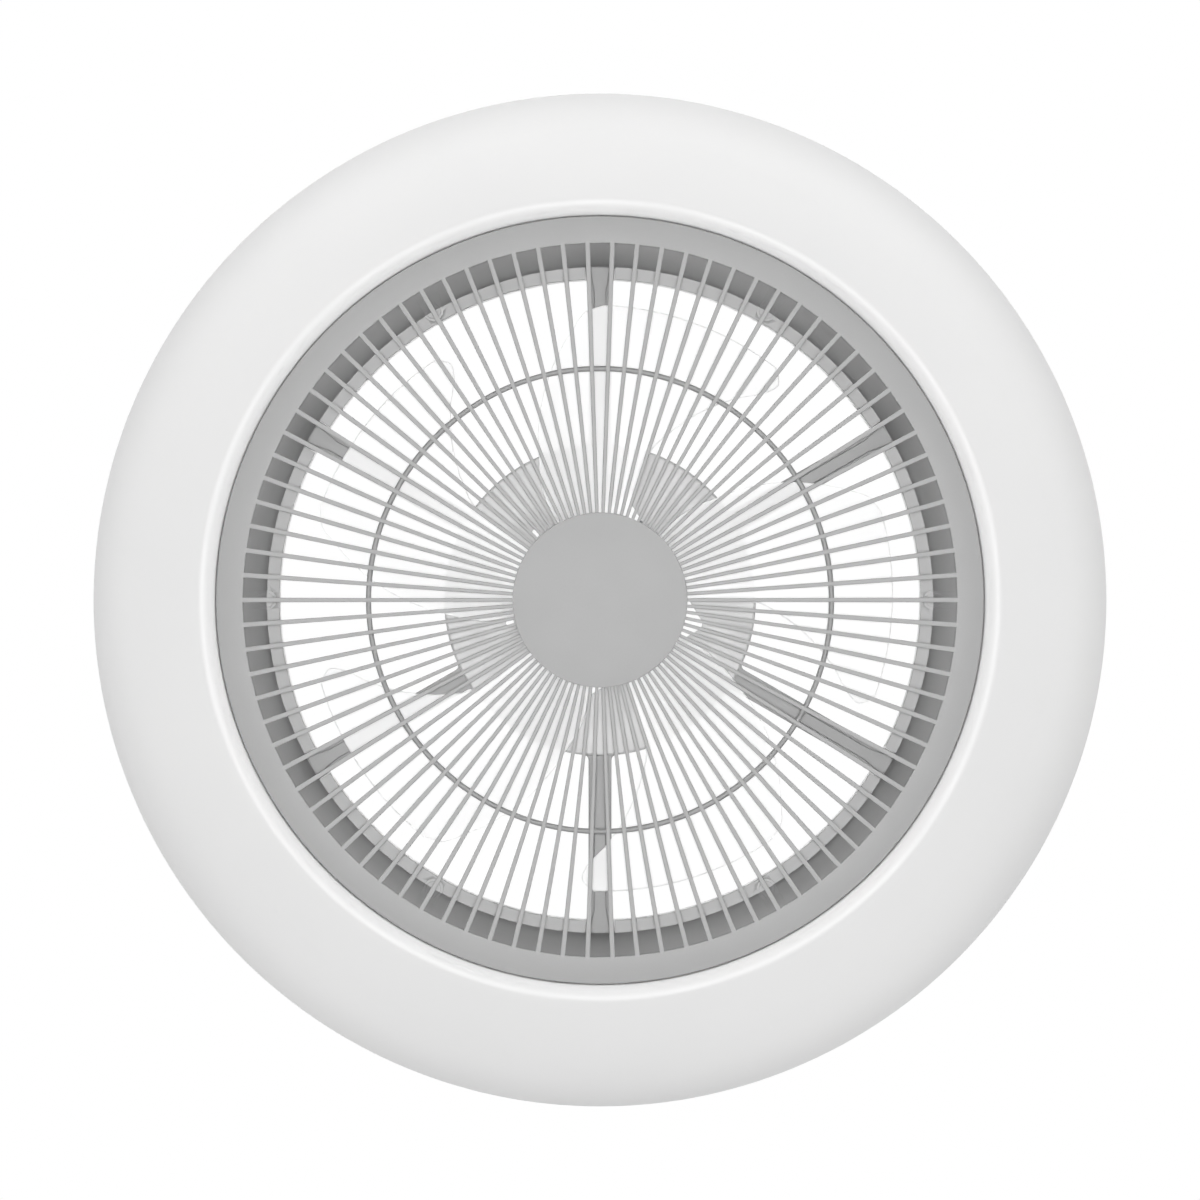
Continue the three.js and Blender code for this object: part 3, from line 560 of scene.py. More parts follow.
def ball_tree():
    """Balls on a circle, joined with the races of the base mesh."""
    tree = Shape("bearing_balls", ball_count=8, circle=0.008, ball_radius=0.0015, level=0.0)
    ball = tree.geo("MeshIcoSphere", {"Radius": tree["ball_radius"], "Subdivisions": 3})
    out = tree.moved(ball, x=tree["circle"], z=tree["level"])
    return tree.close(tree.join(tree.round_the_axis(out, tree["ball_count"]), tree["Geometry"]))


def coil_tree():
    """Flat loops of wire side by side along each tooth of the stator."""
    tree = Shape("wound_coils", tooth_count=12, turn_count=10, wire_radius=0.0006,
                 start=0.0192, width=0.0066, height=0.0136, level=0.0)
    loop = tree.rounded_box(tree["height"], tree["width"], 3, 0.0012)
    wire = tree.swept(loop, tree.circle(8, tree["wire_radius"]))
    stood = tree.geo("Transform", {"Geometry": wire, "Rotation": (0, pi / 2, 0)})
    pitch = tree.times(tree["wire_radius"], 2.05)
    along = tree.calc("MULTIPLY_ADD", tree.geo("InputIndex"), pitch, tree["start"])
    row = tree.geo("Points", {
        "Count": tree["turn_count"], "Position": tree.vector(along, 0.0, tree["level"])})
    coil = tree.geo("InstanceOnPoints", {"Points": row, "Instance": stood})
    return tree.close(tree.round_the_axis(coil, tree["tooth_count"]))


def magnet_tree():
    """Separate curved magnets inside the bell."""
    tree = Shape("curved_magnets", magnet_count=14, ring_radius=0.0411,
                 thickness=0.0082, height=0.014, level=0.0, sweep=0.42)
    arc = tree.geo("CurveArc", {
        "Resolution": 9, "Radius": tree["ring_radius"], "Sweep Angle": tree["sweep"]})
    section = tree.rounded_box(tree["height"], tree["thickness"], 2, 0.0005)
    magnet = tree.moved(tree.swept(arc, section, True), z=tree["level"])
    return tree.close(tree.round_the_axis(magnet, tree["magnet_count"]))


def lamp_dot_tree():
    """Small square lamps under the board, on three circles with ever more lamps."""
    tree = Shape("lamp_dots", lamp_count=72, circle=0.240, side=0.0030, height=0.0007, level=0.0)
    cube = tree.geo("MeshCube", {"Size": tree.vector(tree["side"], tree["side"], tree["height"])})
    lens = tree.geo("MeshCylinder", {
        "Vertices": 16, "Radius": tree.times(tree["side"], 0.4),
        "Depth": tree.times(tree["height"], 0.6)})
    lamp = tree.join(cube, tree.moved(lens, z=tree.times(tree["height"], -0.7)))
    circles = []
    for place, reach in enumerate((1.0, 1.07, 1.14)):
        count = tree.calc("MULTIPLY_ADD", float(place), 6.0, tree["lamp_count"])
        out = tree.moved(lamp, x=tree.times(tree["circle"], reach), z=tree["level"])
        circles.append(tree.round_the_axis(out, count))
    return tree.close(tree.join(*circles))


# ---- Finishes ----


def grey(level, warmth=0.0):
    return (level * (1 + warmth), level, level * (1 - warmth), 1.0)


def brighter(colour, factor):
    return tuple(min(1, part * factor) for part in colour)


class Finish(Nodes):
    """A new material, whose patterns lie in the piece's own coordinates."""

    def __init__(self, name):
        self.material = bpy.data.materials.new(name)
        self.material.use_nodes = True
        super().__init__(self.material.node_tree)
        self.shader = self.tree.nodes["Principled BSDF"]
        self.place = self.add("ShaderNodeTexCoord").outputs["Object"]

    def set(self, socket, value):
        self.feed(self.shader, socket, value)

    def noise(self, scale, detail=3.0, roughness=0.5, place=None):
        """Noise with about `scale` spots to the metre."""
        return self.add("ShaderNodeTexNoise", {
            "Vector": self.place if place is None else place,
            "Scale": scale, "Detail": detail, "Roughness": roughness}).outputs["Fac"]

    def mixed(self, value, first, second):
        """Two colours mixed by a value from 0 to 1."""
        return self.add("ShaderNodeMix", {0: value, 6: first, 7: second}, data_type="RGBA").outputs[2]

    def drift(self, dark, light, scale, detail=3.0):
        """Two shades that drift into each other."""
        return self.mixed(self.between(self.noise(scale, detail), 0.0, 1.0), dark, light)

    def gloss(self, low, high, scale, detail=3.0):
        """Roughness that varies from low to high."""
        self.set("Roughness", self.between(self.noise(scale, detail), low, high))

    def rubbed(self, colour, worn):
        """The colour, a little worn along the outer edges."""
        edge = self.add("ShaderNodeNewGeometry").outputs["Pointiness"]
        return self.mixed(self.between(edge, 0.0, 0.35, 0.52, 0.60), colour, worn)

    def grain(self, height, depth, strength=0.4):
        """A fine relief of some metres' depth."""
        self.set("Normal", self.add("ShaderNodeBump", {
            "Height": height, "Strength": strength, "Distance": depth}))


def coated(name, shades, gloss, grain=None, worn=None):
    """Paint or plastic: drifting shades, uneven gloss, a grain and worn edges.

    The shades are dark, light, spots to the metre and detail, the gloss is the same for the
    roughness, and the grain is spots to the metre, detail, depth and strength."""
    coat = Finish(name)
    colour = coat.drift(*shades)
    coat.set("Base Color", coat.rubbed(colour, worn) if worn else colour)
    coat.gloss(*gloss)
    if grain:
        spots, detail, *relief = grain
        coat.grain(coat.noise(spots, detail), *relief)
    return coat.material


def plain_moulding(name, light, dark, rough, texture, depth):
    """Unpainted plastic or rubber with a texture from its mould."""
    return coated(name, (dark, light, 80.0, 4.0), (*rough, 80.0, 4.0), (texture, 2.0, depth),
                  brighter(light, 1.3))


def satin_silver(name, light, painted_shade_levels=None, darkest_painted_shade=0.6):
    """Silver-grey paint with fine flakes. Between two levels, if given, painted shade darkens it
    towards the back.
    """
    paint = Finish(name)
    flakes = paint.noise(5200.0, 2.0, 0.7)
    base = paint.drift(grey(light * 0.992), grey(light * 1.008), 14.0)
    sparkle = paint.mixed(paint.between(flakes, 0.0, 1.0, 0.55, 0.75), base, grey(light * 1.12))
    colour = paint.rubbed(sparkle, grey(light * 1.2))
    # Painted shade: the colour darkens from the front level to the back level, and is plain again just
    # past the back level.
    if painted_shade_levels:
        front, back = painted_shade_levels
        level = paint.parts(paint.place)["Z"]
        share = paint.between(level, 1.0, 0.0, front, back)
        beyond = paint.between(level, 0.0, 1.0, back, back + 0.0005)
        colour = paint.mixed(paint.calc("MAXIMUM", share, beyond), grey(light * darkest_painted_shade), colour)
    paint.set("Base Color", colour)
    paint.gloss(0.595, 0.625, 60.0, 4.0)
    paint.set("Metallic", 0.1)
    paint.grain(flakes, 0.00004)
    return paint.material


def milky_clear():
    """Clear blades, milky on the faces that the "milky" attribute marks, with a painted glow that
    brightens them.
    """
    clear = Finish("milky_clear_plastic")
    clear.set("Base Color", clear.drift(grey(0.965), grey(0.985), 22.0, 4.0))
    clear.gloss(0.38, 0.48, 70.0)
    # Painted light: the blades glow faintly white, though they are no lamp, to look as bright as
    # blades lit through from above.
    clear.set("Emission Color", (1.0, 1.0, 1.0, 1.0))
    clear.set("Emission Strength", 0.11)
    clear.set("Alpha", clear.add("ShaderNodeAttribute", attribute_name="milky").outputs["Fac"])
    return clear.material


def metal(name, light, dark, rough, metallic=1.0, streak=(1.0, 1.0, 1.0), speck=900.0):
    """Bare or coated metal: two shades, streaks along an axis, and rubbed edges."""
    steel = Finish(name)
    drawn = steel.add("ShaderNodeMapping", {"Vector": steel.place, "Scale": streak})
    lines = steel.noise(speck, 4.0, place=drawn)
    shaded = steel.mixed(steel.between(lines, 0.0, 0.35), steel.drift(dark, light, 120.0), light)
    steel.set("Base Color", steel.rubbed(shaded, brighter(light, 1.25)))
    steel.set("Metallic", metallic)
    steel.set("Roughness", steel.between(lines, *rough))
    steel.grain(lines, 0.00002)
    return steel.material


def stacked_laminations():
    """Varnished sheets, one on another: a dark line every half millimetre of height."""
    sheet = 0.0005
    stack = Finish("stacked_laminations")
    share = stack.calc("PINGPONG", stack.parts(stack.place)["Z"], sheet / 2)
    joint = stack.between(share, 0.0, 1.0, 0.0, sheet / 6)
    steel = stack.drift(grey(0.16), grey(0.22), 300.0)
    stack.set("Base Color", stack.mixed(joint, grey(0.03), steel))
    stack.set("Metallic", 0.7)
    stack.gloss(0.35, 0.5, 90.0)
    stack.grain(joint, 0.00008)
    return stack.material


def board_mask():
    """White solder mask with faint tracks that run round the board."""
    track_pitch = 0.0042
    mask = Finish("white_solder_mask")
    x, y, _ = mask.parts(mask.place)
    radius = mask.calc("SQRT", mask.calc("ADD", mask.times(x, x), mask.times(y, y)))
    across = mask.calc("PINGPONG", radius, track_pitch / 2)
    track = mask.between(across, 0.0, 1.0, track_pitch * 0.08, track_pitch * 0.14)
    white = mask.drift(grey(0.76), grey(0.82, 0.01), 200.0)
    mask.set("Base Color", mask.mixed(track, grey(0.62, 0.03), white))
    mask.gloss(0.3, 0.45, 60.0)
    mask.grain(track, 0.00003)
    return mask.material


SILVER = satin_silver("satin_silver_paint", 0.35)
DARKEST_SHADE_LEVEL = LIP_FACE - 0.0022       # just below the bosses, where the painted shade is darkest
# Painted light and shade: the duct is a lighter copy of the satin silver, to brighten it inside the
# shaded duct, and it darkens towards the back.
DUCT_SILVER = satin_silver("duct_silver_paint", 0.43, (DUCT_BOTTOM, DARKEST_SHADE_LEVEL))
OPAL = coated("opal_lamp_plastic", (grey(0.70), grey(0.725, 0.002), 5.0, 4.0),
              (0.45, 0.48, 40.0), (1800.0, 3.0, 0.00001, 0.25))
CASING_WHITE = coated("textured_white_moulding", (grey(0.77), grey(0.81, 0.003), 7.0),
                      (0.44, 0.56, 90.0), (2600.0, 2.0, 0.00005), grey(0.86))
HOUSING_PAINT = coated("light_grey_powder_paint", (grey(0.49), grey(0.515), 11.0),
                       (0.36, 0.46, 50.0), (750.0, 1.0, 0.00006), grey(0.59))
PHOSPHOR = coated("lamp_phosphor", ((0.72, 0.55, 0.12, 1), (0.88, 0.74, 0.26, 1), 1500.0),
                  (0.25, 0.5, 1500.0))
MILKY = milky_clear()
ZINC = metal("zinc_plated_steel", (0.58, 0.59, 0.61, 1), (0.49, 0.505, 0.52, 1), (0.30, 0.44))
DARK = metal("dark_coated_steel", grey(0.135, -0.02), grey(0.095, -0.02), (0.42, 0.56), 0.35)
COPPER = metal("enamelled_copper_wire", (0.78, 0.34, 0.14, 1), (0.55, 0.20, 0.07, 1),
               (0.2, 0.34), 0.85, (1, 1, 4))
FERRITE = metal("bonded_ferrite", grey(0.06), grey(0.035), (0.6, 0.8), 0.1, speck=2400.0)
LAMINATED = stacked_laminations()
MASK = board_mask()
NYLON = plain_moulding("natural_nylon", grey(0.76, 0.03), grey(0.70, 0.04), (0.4, 0.55), 1400,
                       0.00004)
MODULE = plain_moulding("grey_module_case", grey(0.29), grey(0.25), (0.5, 0.62), 2200, 0.00006)
RUBBER = plain_moulding("grommet_rubber", grey(0.035), grey(0.022), (0.7, 0.85), 1600, 0.00005)

# ---- Lamp cover, casing and what is between them ----


def rolled_edge(inner, low, round_by, steps=10):
    """A quarter round from the lowest circle up to the inner edge."""
    turns = [pi / 2 * step / steps for step in range(steps + 1)]
    return [(BEAD - (BEAD - inner) * sin(turn), low + round_by * (1 - cos(turn)), 0)
            for turn in turns]


def shoulder(low):
    """From the sloping face in to the lowest circle, ever flatter."""
    return [(BEAD + (BEAD_END - BEAD) * share, low + BEAD_RISE * share ** 2, 0)
            for share in (0.75, 0.5, 0.25)]


def duct_outer(level):
    """The outside of the duct wall, which narrows upwards."""
    share = (level - DUCT_BOTTOM) / (LIP_FACE - DUCT_BOTTOM)
    return DUCT_RADIUS - (DUCT_RADIUS - DUCT_LIP) * share + DUCT_WALL


def lamp_face(wide, low, steps):
    """The sloping face: part of an ellipse, from its widest circle down to the roll."""
    middle = BEAD_END - FACE_INSET
    end = acos(FACE_INSET / (wide - middle))
    depth = (SEAM - GAP - low) / sin(end)
    turns = [end * step / steps for step in range(steps + 1)]
    return [(middle + (wide - middle) * cos(turn), SEAM - GAP - depth * sin(turn), 0)
            for turn in turns]


def lamp_cover():
    spigot, seam = SPIGOT, SEAM - GAP
    edge_top = DUCT_BOTTOM - GAP
    outside = lamp_face(OUTER, LOWEST + BEAD_RISE, 44)
    inside = lamp_face(spigot - SPIGOT_WALL, LOWEST + BEAD_RISE + SHELL_WALL, 30)
    roll_back = rolled_edge(LAMP_INNER + SHELL_WALL, LOWEST + SHELL_WALL, LIP_ROUND - SHELL_WALL)
    return turned("lamp_cover_shell", [
        (OUTER, seam, 0.0005), *outside[1:], *shoulder(LOWEST),
        *rolled_edge(LAMP_INNER, LOWEST, LIP_ROUND),
        (LAMP_INNER, edge_top, 0.0004), (LAMP_INNER + SHELL_WALL, edge_top, 0.0004),
        *reversed(roll_back), *reversed(inside),
        (spigot - SPIGOT_WALL, SPIGOT_TOP, 0.0005), (spigot, SPIGOT_TOP, 0.0008), (spigot, seam, 0),
    ])


def casing():
    low = CASING_TOP - SHELL_WALL
    outside = shell_curve(OUTER, CASING_FLAT, SEAM, CASING_TOP)
    inside = shell_curve(OUTER - SHELL_WALL, CASING_FLAT, SEAM, low)
    shell = turned("casing_shell", [
        (OUTER, SEAM, 0.0005), *outside[1:],
        (LIP_INNER, CASING_TOP, 0.0008), (LIP_INNER, low, 0.0004),
        *reversed(inside),
    ])
    return combined(shell, rods(BOSS_TURNS, DUCT_LIP, SCREW_HOLE, low - PAST, CASING_TOP + PAST, 32))


def duct():
    """The duct wall with its lip, bosses, ledge, flange and the bays for the arms."""
    ledge_under = LEDGE_TOP - LEDGE_THICKNESS
    ledge_rim = duct_outer(LEDGE_TOP) + LEDGE_WIDTH
    flange_top = DUCT_BOTTOM + DUCT_WALL
    lip_back = LIP_FACE + DUCT_WALL
    wall = turned("duct_wall", [
        (DUCT_RADIUS, DUCT_BOTTOM, 0.0004), (DUCT_LIP, LIP_FACE, 0.0004),
        (LIP_INNER, LIP_FACE, 0.0006), (LIP_INNER, lip_back, 0.0006),
        (DUCT_LIP, lip_back, 0), (DUCT_LIP, DUCT_TOP, 0.0004),
        (DUCT_LIP + DUCT_WALL, DUCT_TOP, 0.0004), (duct_outer(LEDGE_TOP), LEDGE_TOP, 0),
        (ledge_rim, LEDGE_TOP, 0.0004), (ledge_rim, ledge_under, 0.0004),
        (duct_outer(ledge_under), ledge_under, 0),
        (duct_outer(flange_top), flange_top, 0.0006), (DUCT_FLANGE, flange_top, 0.0004),
        (DUCT_FLANGE, DUCT_BOTTOM, 0.0004),
    ])
    drop = LIP_FACE - BOSS_DROP
    for more in (
        rods(BOSS_TURNS, DUCT_LIP, BOSS_RADIUS, drop + BOSS_DROP / 2, DUCT_TOP, 48, 0.0003),
        rods(BOSS_TURNS, DUCT_LIP, BOSS_RADIUS - BOSS_STEP, drop, LIP_FACE, 48, 0.0003),
        rods(BOSS_TURNS, PEG_CIRCLE, PEG_RADIUS, under("duct_ring"), flange_top, 24, 0.0005),
    ):
        wall = combined(wall, more, "UNION")
    half = ARM_HALF + ARM_FLARE + GAP
    window = TONGUE_HALF + GAP
    bay = (LIP_INNER - PAST, -half, LIP_FACE - PAST), (ARM_END + GAP, half, DUCT_TOP + PAST)
    slot = ((ARM_END, -window, ARM_AXIS - TONGUE_RISE - GAP),
            (ARM_END + TONGUE_ROOM, window, ARM_AXIS + TONGUE_RISE + GAP))
    for less in (
        [block(*bay, turn) for turn in ARM_TURNS],
        [block(*slot, turn) for turn in ARM_TURNS],
        rods(BOSS_TURNS, DUCT_LIP, SCREW_HOLE, LIP_FACE + PAST, DUCT_TOP + PAST),
    ):
        wall = combined(wall, less)
    return wall


def lamp_tray():
    low, high, outer = extent("led_tray")
    sheet = 0.0015
    inner = duct_outer(low) + GAP
    return turned("lamp_tray_sheet", [
        (inner, low, 0.0003), (outer, low, 0.0014), (outer, high, 0.0004),
        (outer - sheet, high, 0.0004), (outer - sheet, low + sheet, 0.0004),
        (inner, low + sheet, 0.0003)])


def lamp_board():
    low, high, outer = extent("led_board")
    inner = duct_outer(high) + SPIGOT - SPIGOT_WALL - outer
    return turned("lamp_board_ring", [
        (inner, low, 0), (outer, low, 0), (outer, high, 0), (inner, high, 0)])


piece("lamp_cover_shell", lamp_cover(), OPAL, ["lamp_cover"])
piece("casing_shell", evenly_shaded(casing()), CASING_WHITE, ["upper_casing"])
piece("duct_wall", evenly_shaded(duct()), DUCT_SILVER, ["duct_ring"])
piece("lamp_tray_sheet", lamp_tray(), ZINC, ["led_tray"])
piece("lamp_board_ring", lamp_board(), MASK, ["led_board"])
DOT_MIDDLE = under("led_board") - 0.0004
DOTS = grown(lamp_dot_tree(), PHOSPHOR, level=DOT_MIDDLE)
piece("lamp_dots", DOTS, PHOSPHOR)

# ---- Grille ----


def grille_rings():
    """The trim ring, with blind sockets for the duct's pegs, and the hub ring."""
    trim = turned("trim_ring", [
        (DUCT_RADIUS, GRILLE_FACE, 0.0007), (TRIM, GRILLE_FACE + 0.0006, 0.001),
        (TRIM, GRILLE_BACK, 0.0003), (DUCT_RADIUS, GRILLE_BACK, 0.0003)])
    sockets = rods(BOSS_TURNS, PEG_CIRCLE, PEG_RADIUS + GAP, under("duct_ring") - GAP,
                   GRILLE_BACK + PAST)
    hub = turned("hub_ring", [
        (HUB_HOLE, GRILLE_FACE, 0.0003), (HUB_RING, GRILLE_FACE, 0.0003),
        (HUB_RING, GRILLE_BACK, 0.0006), (HUB_HOLE, GRILLE_BACK, 0.0003)], SMALL_ROUND)
    return joined("grille_rings", [combined(trim, sockets), hub])


def hub_disc():
    spigot = HUB_HOLE - GAP
    wall = 0.002
    low, high = under("hub_cap"), GRILLE_FACE - GAP
    return turned("hub_disc", [
        (0, low, 0), (rim("hub_cap"), low, 0.0005), (rim("hub_cap"), high, 0.0003), (spigot, high, 0),
        (spigot, GRILLE_BACK, 0.0003), (spigot - wall, GRILLE_BACK, 0.0003), (spigot - wall, high, 0),
        (0, high, 0)])


BRACE_ROD = (top("grille_brace_ring") - under("grille_brace_ring")) / 2
RIBS = grown(grille_rib_tree(), SILVER, grille_rings())
piece("grille_ribs", RIBS, SILVER, ["grille"])
piece("brace_hoop", grown(hoop_tree(), SILVER, rod_radius=BRACE_ROD,
                          level=under("grille_brace_ring") + BRACE_ROD),
      SILVER, ["grille_brace_ring"])
piece("hub_disc", hub_disc(), SILVER, ["hub_cap"])

# ---- Housing and arms ----


def rounded_square(half, corner, turn):
    corners = [(half, half), (-half, half), (-half, -half), (half, -half)]
    swing = Matrix.Rotation(turn, 2)
    return [swing @ point for point in filleted([(x, y, corner) for x, y in corners], 8)]


def housing():
    """The round housing: its floor has the square opening, vents and screw holes."""
    inner = HOUSING - HOUSING_WALL
    floor = HOUSING_UNDER + HOUSING_WALL
    high = top("canopy_housing")
    near = 0.004                # rings of edges this close to the holes keep the wall smooth
    rings = [hole + side * near for hole in (ARM_AXIS, BRACKET_SCREW_LEVEL) for side in (-1, 1)]
    shell = turned("housing_shell", [
        (0, HOUSING_UNDER, 0), (HOUSING, HOUSING_UNDER, 0.0015),
        *[(HOUSING, ring, 0) for ring in rings], (HOUSING, high, 0.0005),
        (inner, high, 0.0005), *[(inner, ring, 0) for ring in reversed(rings)],
        (inner, floor, 0.0008), (0, floor, 0)])
    low, over = HOUSING_UNDER - PAST, floor + PAST
    opening = prism("opening", rounded_square(OPENING_HALF, 0.004, OPENING_TURN), low, over)
    vents = rods(around(6, VENT_TURN), VENT_CIRCLE, VENT_RADIUS, low, over)
    plate_holes = rods(PLATE_TURNS, PLATE_SCREW_CIRCLE, SCREW_HOLE, low, over)
    wall_holes = [
        spoke_rod(radius, inner - 4 * PAST, HOUSING + 2 * PAST, turn, level, 24)
        for turns, radius, level in ((ARM_TURNS, THICK_SCREW_HOLE, ARM_AXIS),
                                     (BRACKET_TURNS, SCREW_HOLE, BRACKET_SCREW_LEVEL))
        for turn in turns]
    return combined(shell, [opening, *vents, *plate_holes, *wall_holes])


def arm():
    """An arm along +X: a bar with a channel underneath, wider where it meets the duct."""
    flare_length, flare_slope = 0.017, 1.3
    foot, foot_width = 0.003, 0.0022
    channel, depth = 0.00355, 0.004
    screw_depth = 0.014
    flare_from = ARM_END - flare_length
    foot_end = ARM_START + foot

    def widened(x):
        flare = max(0.0, (x - flare_from) / flare_length)
        near = max(0.0, 1 - (x - ARM_START) / foot)
        return ARM_FLARE * (3 * flare ** 2 - 2 * flare ** 3), foot_width * (1 - sqrt(1 - near ** 2))

    stations = [ARM_START + foot * (index / 6) ** 1.6 for index in range(6)]
    stations += [foot_end + (flare_from - foot_end) * index / 6 for index in range(6)]
    stations += [flare_from + flare_length * index / 10 for index in range(11)]
    sections = []
    for x in stations:
        flare, fillet = widened(x)
        w, c = ARM_HALF + flare + fillet, channel + flare * flare_slope
        roof = ARM_UNDER + depth
        outline = filleted([
            (-w, ARM_UNDER, 0.0007), (-c, ARM_UNDER, 0.0005), (-c, roof, 0.0008), (c, roof, 0.0008),
            (c, ARM_UNDER, 0.0005), (w, ARM_UNDER, 0.0007), (w, ARM_TOP, 0.001), (-w, ARM_TOP, 0.001)])
        sections.append([(x, y, z) for y, z in outline])
    tongue = block((ARM_END - PAST, -TONGUE_HALF, ARM_AXIS - TONGUE_RISE),
                   (ARM_END + TONGUE_LENGTH, TONGUE_HALF, ARM_AXIS + TONGUE_RISE))
    hole = spoke_rod(THICK_SCREW_HOLE, ARM_START - PAST, ARM_START + screw_depth, 0.0, ARM_AXIS, 24)
    return combined(combined(lofted("arm_bar", sections), [tongue], "UNION"), [hole])


piece("housing_shell", evenly_shaded(housing()), HOUSING_PAINT, ["canopy_housing"])
for number, mesh in enumerate(copied_round(arm(), ARM_TURNS), 1):
    piece(f"arm_bar_{number}", mesh, SILVER, [f"support_arm_{number}"])

# ---- Blades ----

TAB_END = 0.0463
TIP = 0.1739
ROOT = 0.028
BLADE_THICKNESS = 0.002
PITCH = radians(12.5)
CAMBER = 0.003
BLADE_AXIS = radians(1)
TWIST_LENGTH = 0.014
BLADE_MILK = 0.84               # how much the milky underside of a blade hides
TRAILING = [(0, 47), (0.13, 46.9), (0.36, 41.1), (0.64, 32.8), (0.9, 23.5), (0.97, 20.8), (1, 17.2)]
LEADING = [(0, 0.4), (0.35, 0.8), (0.48, 4.8), (0.59, 8.8), (0.78, 16.5), (0.88, 20.8), (0.94, 21.8),
           (0.98, 20.5), (1, 19.3)]


def smooth_through(knots, at):
    """A smooth curve through (place, value) knots that doesn't overshoot them."""
    if at <= knots[0][0]:
        return knots[0][1]
    slopes = [(b[1] - a[1]) / (b[0] - a[0]) for a, b in zip(knots, knots[1:])]
    bends = [slopes[0]]
    for before, after in zip(slopes, slopes[1:]):
        bends.append(0.0 if before * after <= 0 else 2 * before * after / (before + after))
    bends.append(slopes[-1])
    last = next((i for i in range(1, len(knots)) if knots[i][0] >= at), len(knots) - 1)
    (x0, y0), (x1, y1) = knots[last - 1], knots[last]
    width = x1 - x0
    t = (at - x0) / width
    return (y0 * (1 + 2 * t) * (1 - t) ** 2 + width * bends[last - 1] * t * (1 - t) ** 2
            + y1 * t * t * (3 - 2 * t) + width * bends[last] * t * t * (t - 1))


def blade():
    """A curved sheet with a round edge all the way round, flat at its root."""
    half = BLADE_THICKNESS / 2
    edge_steps, tab_steps, wing_steps, columns = 3, 4, 40, 28
    turns = [pi / 2 * step / edge_steps for step in range(edge_steps + 1)]
    edge = [(half * (1 - cos(turn)), sin(turn)) for turn in turns]
    tab, wing = TAB_END - ROOT - half, TIP - half - TAB_END
    rows = [(ROOT + d, thick) for d, thick in edge]
    rows += [(ROOT + half + tab * i / tab_steps, 1.0) for i in range(1, tab_steps + 1)]
    rows += [(TAB_END + wing * sin(pi / 2 * i / wing_steps), 1.0) for i in range(1, wing_steps + 1)]
    rows += [(TIP - d, thick) for d, thick in reversed(edge[:-1])]

    def spot(radius, across):
        share = (radius - TAB_END) / (TIP - TAB_END)
        low = -radians(smooth_through(TRAILING, share))
        high = radians(smooth_through(LEADING, share))
        angle = low + (high - low) * across
        twist = min(max((radius - TAB_END) / TWIST_LENGTH, 0.0), 1.0)
        twist = twist * twist * (3 - 2 * twist)
        sideways = radius * sin(angle - BLADE_AXIS)
        arch = CAMBER * (1 - (2 * across - 1) ** 2)
        level = BLADE_LEVEL + twist * (sideways * tan(PITCH) + arch)
        return (*on_circle(radius, angle), level), radius * (high - low)

    sections = []
    for radius, thick in rows:
        width = spot(radius, 0.0)[1]
        inset = half / width
        places = [(d / width, t) for d, t in edge]
        places += [(inset + (1 - 2 * inset) * i / columns, 1.0) for i in range(1, columns)]
        places += [(1 - d / width, t) for d, t in reversed(edge)]
        upper, lower = [], []
        for across, share in places:
            (x, y, level), _ = spot(radius, across)
            reach = half * min(thick, share)
            upper.append((x, y, level + reach))
            lower.append((x, y, level - reach))
        sections.append(upper + lower[::-1])
    hole = rods([BLADE_SCREW_TURN], BLADE_SCREW_CIRCLE, THICK_SCREW_HOLE,
                BLADE_LEVEL - 3 * PAST, BLADE_LEVEL + 3 * PAST)
    sheet = combined(lofted("blade_sheet", sections), hole)
    milky = sheet.attributes.new("milky", "FLOAT", "FACE")
    milky.data.foreach_set("value", [BLADE_MILK if face.normal.z < 0 else 0.0
                                     for face in sheet.polygons])
    return sheet


for number, mesh in enumerate(copied_round(blade(), BLADE_TURNS), 1):
    piece(f"blade_sheet_{number}", mesh, MILKY, [f"blade_{number}"], "rotor")

# ---- Motor and what turns with it ----


def screw_points(places, aims):
    """Points for the screw tree, each with the way that its shank goes."""
    mesh = bpy.data.meshes.new("screw_points")
    mesh.from_pydata(places, [], [])
    aim = mesh.attributes.new("aim", "FLOAT_VECTOR", "POINT")
    aim.data.foreach_set("vector", [part for way in aims for part in way])
    return mesh


SCREWS = screw_tree()


def screws(name, turns, radius, level, aim, size, length, body="fan_frame"):
    """A set of screws on a circle. Aim is "up", "down", "out" or "in"."""
    ways = {"up": (0, 0, 1), "down": (0, 0, -1), "out": (1, 0, 0), "in": (-1, 0, 0)}
    places = [(*on_circle(radius, turn), level) for turn in turns]
    aims = [Matrix.Rotation(turn, 3, "Z") @ Vector(ways[aim]) for turn in turns]
    head, shank = size
    mesh = grown(SCREWS, ZINC, screw_points(places, aims), head_radius=head, shank_radius=shank,
                 shank_length=length)
    single = name.removesuffix("s")
    nodes = [f"{single}_{number}" for number in range(1, len(turns) + 1)]
    piece(name, mesh, ZINC, nodes, body)


HEAD = 0.0022                   # height of a screw's head
THICK, MEDIUM, THIN = (0.0036, 0.002), (0.003, 0.0015), (0.0028, 0.0015)    # head and shank radii
screws("arm_screws", ARM_TURNS, 0.09148, ARM_AXIS, "out", THICK, 0.016)
screws("casing_screws", BOSS_TURNS, DUCT_LIP, CASING_TOP + GAP, "down", MEDIUM, 0.0073)
screws("housing_screws", BRACKET_TURNS, HOUSING + GAP, BRACKET_SCREW_LEVEL, "in", THIN, 0.0066)
screws("motor_plate_screws", PLATE_TURNS, PLATE_SCREW_CIRCLE, under("motor_plate_screw_1") + HEAD,
       "up", THIN, 0.0056)
screws("blade_screws", BLADE_SCREW_TURNS, BLADE_SCREW_CIRCLE, under("blade_screw_1") + HEAD, "up",
       THICK, 0.0126, "rotor")


def drilled(mesh, turns, circle, radius, low, high):
    """Cuts upright holes on a circle through a mesh."""
    return combined(mesh, rods(turns, circle, radius, low - PAST, high + PAST))


